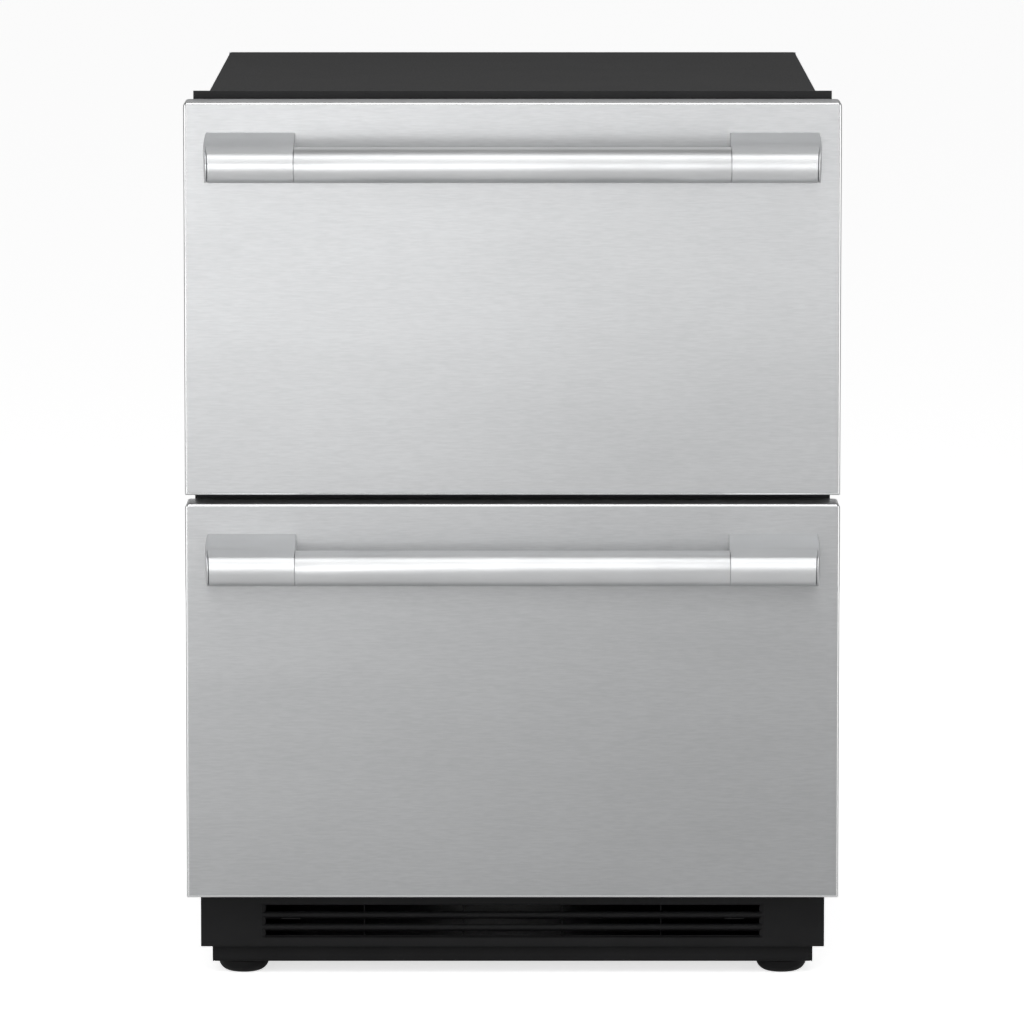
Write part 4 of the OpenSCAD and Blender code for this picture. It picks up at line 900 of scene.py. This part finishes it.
bayMiddle = middleAndHalf("condenser_fan_blade")[0][1]
pump = inMm(x=112, r=66, seam=3, seamR=1.4, plate=64, plateR=10, plateT=3, bottomH=14, domeH=30, seamZ=75,
            relayReach=16, relayW=44, relayH=52, relayRise=40, relayR=5, strapIn=12, portR=4, portX=-20,
            portRise=92)


# Two pressed halves joined by a weld seam, turned about their axis, on a flat foot plate. A relay box with a
# strap stands at the side, and two turned pipe stubs come out at the top.
def compressor():
    lo, hi = corners("compressor")
    x, y, z = pump["x"], bayMiddle, lo[2] + pump["plateT"]
    r, seam, seamZ, bead = pump["r"], pump["seam"], pump["seamZ"], pump["seamR"]
    a = np.radians(np.linspace(0, 90, 13))
    height = hi[2] - z
    low = np.stack([r * (1 + np.sin(a)) / 2, pump["bottomH"] * (1 - np.cos(a))], -1)
    weld = arc((r + seam - bead, seamZ - seam / 2), bead, -90, 90, 6)
    dome = np.stack([r * np.cos(a), height - pump["domeH"] * (1 - np.sin(a))], -1)[:-1]
    profile = np.concatenate([[(r * 0.2, 0)], low, [(r, seamZ - seam)], weld, [(r, seamZ)], dome,
                              [(r * 0.03, height)]])
    plate = roundedRect(pump["plate"], pump["plate"], pump["plateR"], 6) + [x, y]
    shells = [turned(profile, (x, y, z), "z", 96), prism(plate, "xy", lo[2], z + 0.4 * mm, 0.6 * mm, 3)]
    w, h = pump["relayW"] / 2, pump["relayH"] / 2
    place, out = [y, z + pump["relayRise"] + h], x - r - pump["relayReach"]
    relay = roundedRect(w, h, pump["relayR"], 5) + place
    strap = roundedRect(w - pump["strapIn"], h + 1 * mm, 2 * mm, 3) + place
    shells.append(prism(relay, "yz", out, x - r / 2, 3 * mm, 4))
    shells.append(prism(strap, "yz", out + 2 * mm, x - r / 2, 0.6 * mm, 2))
    portR, end, portZ = pump["portR"], hi[0] - x, z + pump["portRise"]
    stub = [(0.5 * mm, 0), (portR + 2 * mm, 0), (portR + 0.3 * mm, r - 1 * mm), (portR, r + 2 * mm),
            (portR, end - 0.4 * mm), (portR - 0.4 * mm, end), (0.5 * mm, end)]
    back = [(a, -b) for a, b in stub]
    shells.append(laid(turned(stub, (0, 0, 0), "z", 32), "x", (x, y, portZ)))
    shells.append(laid(turned(back, (0, 0, 0), "z", 32), "y", (x + pump["portX"], y, portZ)))
    makePiece("welded_compressor", joined(*shells), "compressor", smooth=35)


# Lower half of a grommet, as (radius, height) in millimetres: a foot, and a waist for the pump's plate.
grommetHalf = np.array([(3.2, 0.0), (8.4, 0.0), (9.0, 0.6), (9.0, 3.4), (8.4, 4.0), (7.1, 4.8), (7.0, 6.0)])


# Four rubber grommets: the half profile and its mirror image, turned.
def compressorMounts():
    lo, hi = corners("compressor_mounts")
    half = grommetHalf * mm
    r = half[:, 0].max()
    profile = np.concatenate([half, (half * [1, -1] + [0, hi[2] - lo[2]])[::-1][1:]])
    shells = [turned(profile, (x, y, lo[2]), "z", 40, wrap=True)
              for x in (lo[0] + r, hi[0] - r) for y in (lo[1] + r, hi[1] - r)]
    makePiece("rubber_grommets", joined(*shells), "compressor_mounts")


fins = inMm(t=0.5, wave=0.22, pitch=9, tubeR=3, tubeY=40, tubePitch=80, tubeFirst=18, tubeRise=30,
            endPlate=1.0)
fins |= {"rows": 5, "count": 18}


# Rippled fins threaded on two columns of five tubes: two hairpins that bend at the left, and a straight one.
def condenser():
    lo, hi = corners("condenser")
    x = np.linspace(lo[0] + fins["endPlate"] / 2, hi[0] - fins["endPlate"] / 2, fins["count"])
    shells = [rippledFin(v, lo[1], hi[1], lo[2], hi[2], fins["t"], fins["wave"], fins["pitch"]) for v in x]
    r, bend = fins["tubeR"], fins["tubeRise"] / 2
    for column in (0, 1):
        y = lo[1] + fins["tubeY"] + fins["tubePitch"] * column
        z = lo[2] + fins["tubeFirst"] + fins["tubeRise"] * np.arange(fins["rows"])
        for row in (0, 2):
            turn = arc((lo[0], (z[row] + z[row + 1]) / 2), bend, 270, 90, 12)
            path = np.concatenate([[(hi[0], z[row])], turn, [(hi[0], z[row + 1])]])
            shells.append(pipe(lift(path, y, "xz"), r, 16))
        shells.append(pipe([(lo[0], y, z[-1]), (hi[0], y, z[-1])], r, 16))
    makePiece("finned_condenser", joined(*shells), "condenser")


shroud = inMm(t=2, ringR=65, flare=5, edge=0.5, cornerR=4, webOut=12, webL=30)
motor = inMm(r=17, shaftR=2, length=36, ductLength=18, footL=30, legW=24, legT=2, legX=10, groove=0.9,
             bossR=5.5, strutH=12)


# Height of the axis of the condenser's fan.
def fanAxisZ():
    return corners("condenser_fan_motor")[1][2] - motor["r"]


# Plate with a bell mouth: rounded rectangles close in to circles, which run out along the ring and back.
# The plate stands on a foot, held by two triangular webs.
def fanShroud():
    lo, hi = corners("condenser_fan_shroud")
    t, r, e = shroud["t"], shroud["ringR"], shroud["edge"]
    near, far, front = lo[0], hi[0], lo[0] + t
    steps = 15
    count = 4 * (steps + 1)
    angle = (np.arange(count) + 0.5) * 2 * math.pi / count
    circle = np.stack([np.cos(angle), np.sin(angle)], -1)
    plate, size = (v[1:] for v in middleAndHalf("condenser_fan_shroud"))
    hub = np.array([bayMiddle, fanAxisZ()])
    rings = [lift(roundedRect(*(size - inset), shroud["cornerR"], steps) + plate, x, "yz")
             for inset, x in ((e, near), (0, near + e), (0, front - e), (e, front))]
    mouth = [(r + t + shroud["flare"], front), (r + t + 0.8 * mm, front + 0.5 * mm),
             (r + t, front + 1.5 * mm), (r + t, far - e), (r + t - e, far), (r + e, far), (r, far - e),
             (r, near + 3 * mm), (r + 0.4 * mm, near + 1.2 * mm), (r + 1.6 * mm, near)]
    rings += [lift(circle * radius + hub, x, "yz") for radius, x in mouth]
    foot = roundedRect((far - near) / 2, size[0], 3 * mm, 4) + [(near + far) / 2, plate[0]]
    shells = [outward(skinRings(rings, wrap=True)), prism(foot, "xy", lo[2], lo[2] + t, 0.4 * mm, 2)]
    web = np.array([(front, lo[2] + t), (far - 2 * mm, lo[2] + t), (front, lo[2] + shroud["webL"])])
    web = roundCorners(web, 1.5 * mm, 3)
    for out in (-r - shroud["webOut"], r + shroud["webOut"]):
        shells.append(prism(web, "xz", hub[0] + out - 1 * mm, hub[0] + out + 1 * mm, 0.3 * mm, 1))
    makePiece("moulded_fan_shroud", joined(*shells), "condenser_fan_shroud", smooth=35)


# Can of a shaded-pole motor: bearing bosses, rounded ends and two grooves, turned.
def motorCan(length):
    r, bossR, groove, e = motor["r"], motor["bossR"], motor["groove"], 1.2 * mm
    end = [(1.0 * mm, 0), (bossR - 0.5 * mm, 0), (bossR, 0.5 * mm), (bossR, 1.6 * mm), (r - 3 * e, 1.6 * mm),
           (r - e, 2.2 * mm), (r - 0.3 * e, 3.2 * mm), (r, 4.6 * mm)]
    grooves = [(a, length * share + b) for share in (0.34, 0.66) for a, b in
               ((r, -1.4 * mm), (r - groove, -1.0 * mm), (r - groove, 1.0 * mm), (r, 1.4 * mm))]
    back = [(a, length - b) for a, b in end[::-1]]
    return turned(end + grooves + back, (0, 0, 0), "z", 56)


# Shaft from its free end at height 0 to 1 mm inside the can, which starts at the given height.
def motorShaft(length):
    r, e, length = motor["shaftR"], 0.4 * mm, length + 1 * mm
    return turned([(e, 0), (r - e, 0), (r, e), (r, length), (e, length)], (0, 0, 0), "z", 20)


# The motor behind the condenser, on two legs of bent sheet that stand back to back.
def condenserMotor():
    lo, hi = corners("condenser_fan_motor")
    z, start, t = fanAxisZ(), hi[0] - motor["length"], motor["legT"]
    shells = [laid(motorCan(motor["length"]), "x", (start, bayMiddle, z)),
              laid(motorShaft(start - lo[0]), "x", (lo[0], bayMiddle, z))]
    x, low, w = start + motor["legX"], lo[2] + t / 2, motor["legW"] / 2
    line = roundCorners([(x, z - motor["r"] + 2 * mm), (x, low), (start + motor["footL"], low)], 3 * mm, 4,
                        closed=False)
    shells.append(ribbon(line, t, bayMiddle - w, bayMiddle + w, "xz"))
    line[:, 0] = 2 * x - t - 0.05 * mm - line[:, 0]
    line[-1, 0] = start
    shells.append(ribbon(line, t, bayMiddle - w, bayMiddle + w, "xz"))
    makePiece("fan_motor_on_leg", joined(*shells), "condenser_fan_motor")


# The motor in the evaporator's duct, on a flat strut with round ends.
def evaporatorMotor():
    lo, hi = corners("evaporator_fan_motor")
    z, start = (lo[2] + hi[2]) / 2, hi[1] - motor["ductLength"]
    h = motor["strutH"] / 2
    strut = roundedRect(hi[0], h, h - 0.1 * mm, 8) + [0, z]
    shells = [laid(motorCan(motor["ductLength"]), "y", (0, start, z)),
              laid(motorShaft(start - lo[1]), "y", (0, lo[1], z)),
              prism(strut, "xz", start - 1.5 * mm, start + 1.5 * mm, 0.5 * mm, 2)]
    makePiece("duct_fan_motor", joined(*shells), "evaporator_fan_motor")


fan = inMm(bayHub=14, ductHub=11, ductR=41.5, bore=2.1, t=1.4, root=1, crown=1.2, tipR=3, noseR=3, edge=0.6)
fan |= {"blades": 5, "bayReach": 1.02, "span": math.radians(50), "taper": 0.25, "sweep": 0.35, "low": 0.08,
        "rise": 0.84, "thinnest": 0.35}


# Fan blades and hub, drawn about the z axis from height 0 to width. A blade's point at radius rho and share s
# of its chord stands at the angle start + span * (s - 1/2) - sweep * share of the radius, and at the height
# width * (low + rise * s) with a crown across the chord; two such surfaces, t apart, close at their edges.
def axialFan(r, hubR, width):
    s = np.linspace(0, 1, 11)
    rho = np.linspace(hubR - fan["root"], r, 9)[:, None]
    share = (rho - hubR) / (r - hubR)
    arch = np.sin(math.pi * s)
    height = np.broadcast_to(width * (fan["low"] + fan["rise"] * s) + fan["crown"] * arch, (9, 11))
    tip = np.sin(math.pi * np.clip(s, 0.02, 0.98)) ** 0.5
    reach = rho - fan["tipR"] * (1 - tip) * np.clip(share, 0, 1)
    thick = fan["t"] / 2 * np.clip(arch, fan["thinnest"], 1)
    shells = []
    for start in 2 * math.pi * np.arange(fan["blades"]) / fan["blades"]:
        angle = start + fan["span"] * (s - 0.5) * (1 - fan["taper"] * share) - fan["sweep"] * share
        upper, lower = (np.stack([reach * np.cos(angle), reach * np.sin(angle), h], -1)
                        for h in (height + thick, height - thick))
        shells.append(outward(skinRings(np.concatenate([upper, lower[:, ::-1]], 1))))
    e, n = fan["edge"], fan["noseR"]
    hub = [(fan["bore"], 0.0), (hubR - e, 0.0), (hubR, e), (hubR, width - n)]
    hub += [(hubR - n + n * math.cos(a), width - n + n * math.sin(a)) for a in np.radians([30, 60, 90])]
    shells.append(turned(hub + [(fan["bore"], width)], (0, 0, 0), "z", 48, wrap=True))
    return joined(*shells)


# Both rotors, each turned to its own axis.
def fans():
    lo, hi = corners("condenser_fan_blade")
    blades = axialFan((hi[1] - lo[1]) / 2 * fan["bayReach"], fan["bayHub"], hi[0] - lo[0])
    makePiece("condenser_fan_rotor", laid(blades, "x", (lo[0], bayMiddle, fanAxisZ())),
              "condenser_fan_blade")
    z = middleAndHalf("evaporator_fan_motor")[0][2]
    lo, hi = corners("evaporator_fan_blade")
    blades = axialFan(fan["ductR"], fan["ductHub"], hi[1] - lo[1])
    makePiece("evaporator_fan_rotor", laid(blades, "y", (0, lo[1], z)), "evaporator_fan_blade")


# Section of the drip tray as (inset, height) in millimetres. The rim's heights count from the top.
dish = {"under": [(6, 0), (4, 0.2), (2.8, 1.2), (2.2, 3)],
        "rim": [(1.2, -1.6), (0.2, -1.4), (0, -1), (0.2, 0), (2.6, 0), (3.2, -1)],
        "inside": [(4.2, 3.4), (5, 2.2), (6.5, 1.6), (9, 1.5)], "cornerR": 9 * mm}


# Vacuum-formed tray: drafted walls with a rolled rim.
def dripTray():
    middle, half = middleAndHalf("drip_tray")
    floor, top = middle[2] - half[2], middle[2] + half[2]
    profile = [(inset * mm, start + up * mm) for part, start in
               (("under", floor), ("rim", top), ("inside", floor)) for inset, up in dish[part]]
    shell = tray(middle[:2], half[:2], dish["cornerR"], profile, "xy")
    makePiece("formed_drip_tray", shell, "drip_tray", smooth=40)


hose = inMm(r=5, wall=1.5, collarR=9)


# Hose with a funnel collar: its wall's outline turned about its axis.
def drainTube():
    lo, hi = corners("drain_tube")
    x, y = middleAndHalf("drain_tube")[0][:2]
    r, w, c = hose["r"], hose["wall"], hose["collarR"]
    top = hi[2] - lo[2]
    wall = [(r - w, 0), (r - 0.4 * mm, 0), (r, 0.6 * mm), (r, top - 5 * mm), (r + 1 * mm, top - 3 * mm),
            (c - 0.6 * mm, top - 2 * mm), (c, top - 1.6 * mm), (c, top - 0.4 * mm), (c - 0.5 * mm, top),
            (c - 1.6 * mm, top), (r, top - 1.4 * mm), (r - w, top - 4 * mm)]
    makePiece("drain_hose", turned(wall, (x, y, lo[2]), "z", 40, wrap=True), "drain_tube")


lines = inMm(r=3, bend=12, off=14, downX=30, drierSide=40, drierR=9, drierEnd=10, suctionX=205,
             tubeFirst=24)


# Copper pipes with bent corners from the pump's ports to the condenser and up to the evaporator, and the
# drier: a turned body that narrows to the pipe at both ends.
def refrigerantLines():
    pumpLo, pumpHi = corners("compressor")
    condLo, condHi = corners("condenser")
    evapLo, evapHi = corners("evaporator")
    portX, portZ = pump["x"] + pump["portX"], pumpLo[2] + pump["plateT"] + pump["portRise"]
    frontY, high = bayMiddle - pump["r"] - lines["off"], condHi[2] + lines["off"]
    drierX = corners("condenser_fan_shroud")[0][0] + lines["drierSide"]
    dropX, dropY = condLo[0] + lines["downX"], condLo[1] + fins["tubeY"]
    hot = [(portX, pumpLo[1], portZ), (portX, frontY, portZ), (drierX, frontY, portZ), (drierX, frontY, high),
           (dropX, frontY, high), (dropX, dropY, high), (dropX, dropY, condHi[2])]
    wellY, suctionX, tubeZ = (evapLo[1] + evapHi[1]) / 2, lines["suctionX"], evapLo[2] + lines["tubeFirst"]
    cold = [(pumpHi[0], bayMiddle, portZ), (suctionX, bayMiddle, portZ), (suctionX, wellY, portZ),
            (suctionX, wellY, tubeZ), (evapHi[0], wellY, tubeZ)]
    r, drierR = lines["r"], lines["drierR"]
    shells = [pipe(roundCorners(points, lines["bend"], 8, closed=False), r, 20) for points in (hot, cold)]
    length = high - portZ - 2 * lines["drierEnd"]
    half = np.array([(r, 0), (r + 0.6 * mm, 3 * mm), (drierR - 1.5 * mm, 9 * mm), (drierR, 13 * mm)])
    profile = np.concatenate([[(1 * mm, 0)], half, (half * [1, -1] + [0, length])[::-1], [(1 * mm, length)]])
    shells.append(turned(profile, (drierX, frontY, portZ + lines["drierEnd"]), "z", 36))
    makePiece("copper_lines_with_drier", joined(*shells), "refrigerant_lines")


coil = inMm(rise=40, tubeR=4, first=24, wavePitch=8)
coil |= {"count": 24, "rows": 6}


# Rippled fins on one serpentine tube, whose bends stand beyond the fins on both sides.
def evaporator():
    lo, hi = corners("evaporator")
    x = np.linspace(lo[0] + fins["t"], hi[0] - fins["t"], coil["count"])
    pitch = coil["wavePitch"]
    shells = [rippledFin(v, lo[1], hi[1], lo[2], hi[2], fins["t"], fins["wave"], pitch) for v in x]
    y = (lo[1] + hi[1]) / 2
    z = lo[2] + coil["first"] + coil["rise"] * np.arange(coil["rows"])
    path = [(hi[0], z[0])]
    for row in range(coil["rows"] - 1):
        side = lo[0] if row % 2 == 0 else hi[0]
        turn = arc((side, (z[row] + z[row + 1]) / 2), coil["rise"] / 2, -90, 90, 12)
        if row % 2 == 0:
            turn[:, 0] = 2 * side - turn[:, 0]
        path += turn.tolist()
    path.append((hi[0], z[-1]))
    shells.append(pipe(lift(np.array(path), y, "xz"), coil["tubeR"], 16))
    makePiece("finned_evaporator", joined(*shells), "evaporator")


lens = inMm(flute=1.6, fluteH=0.5, edge=0.4)


# Lens with a round underside and small flutes: the arc's depth plus a cosine of small height.
def lightLens():
    lo, hi = corners("light_lens")
    width, h = hi[1] - lo[1], hi[2] - lo[2]
    r = (width ** 2 / 4 + h ** 2) / (2 * h)
    y = np.linspace(-width / 2, width / 2, 61)
    z = hi[2] - h + r - np.sqrt(r ** 2 - y ** 2)
    flute = lens["fluteH"] / 2 * (1 + np.cos(y / lens["flute"] * 2 * math.pi))
    z = z + flute * np.clip(1 - (2 * y / width) ** 8, 0, 1)
    under = np.stack([y + (lo[1] + hi[1]) / 2, np.minimum(z, hi[2] - lens["edge"] / 2)], -1)
    outline = np.concatenate([under, [(hi[1] - lens["edge"], hi[2]), (lo[1] + lens["edge"], hi[2])]])
    shell = outward(skinRings([lift(outline, v, "yz") for v in (lo[0], hi[0])]))
    makePiece("fluted_light_lens", shell, "light_lens", smooth=40)


gland = inMm(r=8.9, bore=4, rim=12, rimL=8)


# Bush for the mains lead: rim, neck and a bore with rounded mouths, turned about y.
def cordGland():
    lo, hi = corners("cord_gland")
    x, _, z = middleAndHalf("cord_gland")[0]
    r, bore, rim, rimL = gland["r"], gland["bore"], gland["rim"], gland["rimL"]
    long, mouth = hi[1] - lo[1], 0.8 * mm
    wall = [(bore + mouth, 0), (rim - 1.5 * mm, 0), (rim - 0.4 * mm, 0.5 * mm), (rim, 1.6 * mm),
            (rim, rimL - 0.6 * mm), (rim - 0.6 * mm, rimL), (r, rimL), (r, long - 0.3 * mm),
            (r - 0.3 * mm, long), (bore + mouth, long), (bore, long - mouth), (bore, mouth)]
    bush = turned(wall, (0, 0, 0), "z", 48, wrap=True)
    makePiece("lead_gland", laid(bush, "y", (x, lo[1], z)), "cord_gland")


for make in (compressor, compressorMounts, condenser, fanShroud, condenserMotor, evaporatorMotor, fans,
             dripTray, drainTube, refrigerantLines, evaporator, lightLens, cordGland):
    make()
easedCopy("machine_bulkhead", "folded_bulkhead", 0.4 * mm)
print("machine bay and cold side made")


# Camera, floor and light.

view = {"out": 7.407, "height": 1.347, "pitch": 6.94, "lens": 283.6, "side": -0.0005}
camera = bpy.data.cameras.new("camera")
camera.lens, camera.sensor_width = view["lens"], 36.0
camera.clip_start, camera.clip_end = 0.1, 200.0
cameraObject = bpy.data.objects.new("camera", camera)
cameraObject.location = (view["side"], face - view["out"], view["height"])
cameraObject.rotation_euler = (math.radians(90 - view["pitch"]), 0, 0)
bpy.context.scene.collection.objects.link(cameraObject)
bpy.context.scene.camera = cameraObject

studio = {"floorHalf": 60.0, "floorSeen": 0.7, "floorGlow": 0.1, "world": 0.3}
floorMesh = bpy.data.meshes.new("floor")
size = studio["floorHalf"]
floorCorners = [(-size, -size, 0), (size, -size, 0), (size, size, 0), (-size, size, 0)]
floorMesh.from_pydata(floorCorners, [], [(0, 1, 2, 3)])
floor = bpy.data.objects.new("floor", floorMesh)
bpy.context.scene.collection.objects.link(floor)
# Matt white paper. To the camera, and in metal and plastic, it glows a little, so that it looks near white
# and still shows the shadow.
floorLook = bpy.data.materials.new("white_paper_floor")
floorLook.use_nodes = True
tree = floorLook.node_tree
tree.nodes.clear()
paper = addNode(tree, "BsdfDiffuse", {"Color": hexColour("#efefef"), "Roughness": 0.5})
ray = addNode(tree, "LightPath")
mirroredRay = addNode(tree, "Math", {0: ray.outputs["Is Glossy Ray"], 1: ray.outputs["Is Transmission Ray"]},
                      operation="MAXIMUM")
inMirror = addNode(tree, "Math", {0: mirroredRay.outputs[0], 1: studio["floorGlow"]}, operation="MULTIPLY")
strength = addNode(tree, "Math", {0: ray.outputs["Is Camera Ray"], 1: studio["floorSeen"],
                                  2: inMirror.outputs[0]}, operation="MULTIPLY_ADD")
glow = addNode(tree, "Emission", {"Color": (1, 1, 1, 1), "Strength": strength.outputs[0]})
both = addNode(tree, "AddShader", {0: paper.outputs[0], 1: glow.outputs[0]})
addNode(tree, "OutputMaterial", {"Surface": both.outputs[0]})
floorMesh.materials.append(floorLook)


# Place, target, size and watts of each soft box. Upright ones stand low in front, because the fronts mirror
# what lies level with them and below them; the brighter of these are at the left.
lamps = {
    "front_low": ((0, -1.3, 0.45), (0, -0.25, 0.45), (1.1, 0.25), 0.55),
    "front_middle": ((0, -1.3, 0.6), (0, -0.25, 0.6), (1.1, 0.3), 1.8),
    "front_high": ((0.12, -1.3, 0.87), (0.05, -0.25, 0.85), (1.2, 0.14), 1.3),
    "left_wide": ((-0.5, -2.6, 0.5), (-0.1, -0.25, 0.5), (1.0, 0.5), 1.4),
    "left_tall": ((-0.9, -2.6, 0.45), (-0.18, -0.25, 0.45), (0.6, 0.8), 2.4),
    "front_top": ((0, -2.6, 2.05), (0, -0.25, 0.8), (2.4, 0.8), 6.0),
    "overhead": ((0, -1.45, 2.5), (0, -0.3, 0.75), (2.2, 1.0), 13.0),
    "rear_top": ((0, 1.5, 2.3), (0, -0.2, 0.8), (2.2, 1.0), 5.2),
    "side_left": ((-2.2, -1.6, 0.8), (-0.44, -0.25, 0.8), (1.4, 1.6), 10.0),
    "side_right": ((2.2, -1.6, 0.8), (0.44, -0.25, 0.8), (1.4, 1.6), 10.0),
    "rear": ((0, 2.6, 0.42), (0, 0.33, 0.42), (2.4, 0.7), 8.0),
}
for name, (place, target, (width, height), watts) in lamps.items():
    lamp = bpy.data.lights.new(name, "AREA")
    lamp.shape, lamp.size, lamp.size_y, lamp.energy = "RECTANGLE", width, height, watts
    box = bpy.data.objects.new(name, lamp)
    box.location = place
    box.rotation_euler = (Vector(target) - Vector(place)).to_track_quat("-Z", "Y").to_euler()
    box.visible_camera = False
    bpy.context.scene.collection.objects.link(box)
world = bpy.data.worlds.new("studio")
world.use_nodes = True
world.node_tree.nodes["Background"].inputs[0].default_value = (1, 1, 1, 1)
world.node_tree.nodes["Background"].inputs[1].default_value = studio["world"]
bpy.context.scene.world = world
bpy.context.scene.view_settings.view_transform = "Standard"
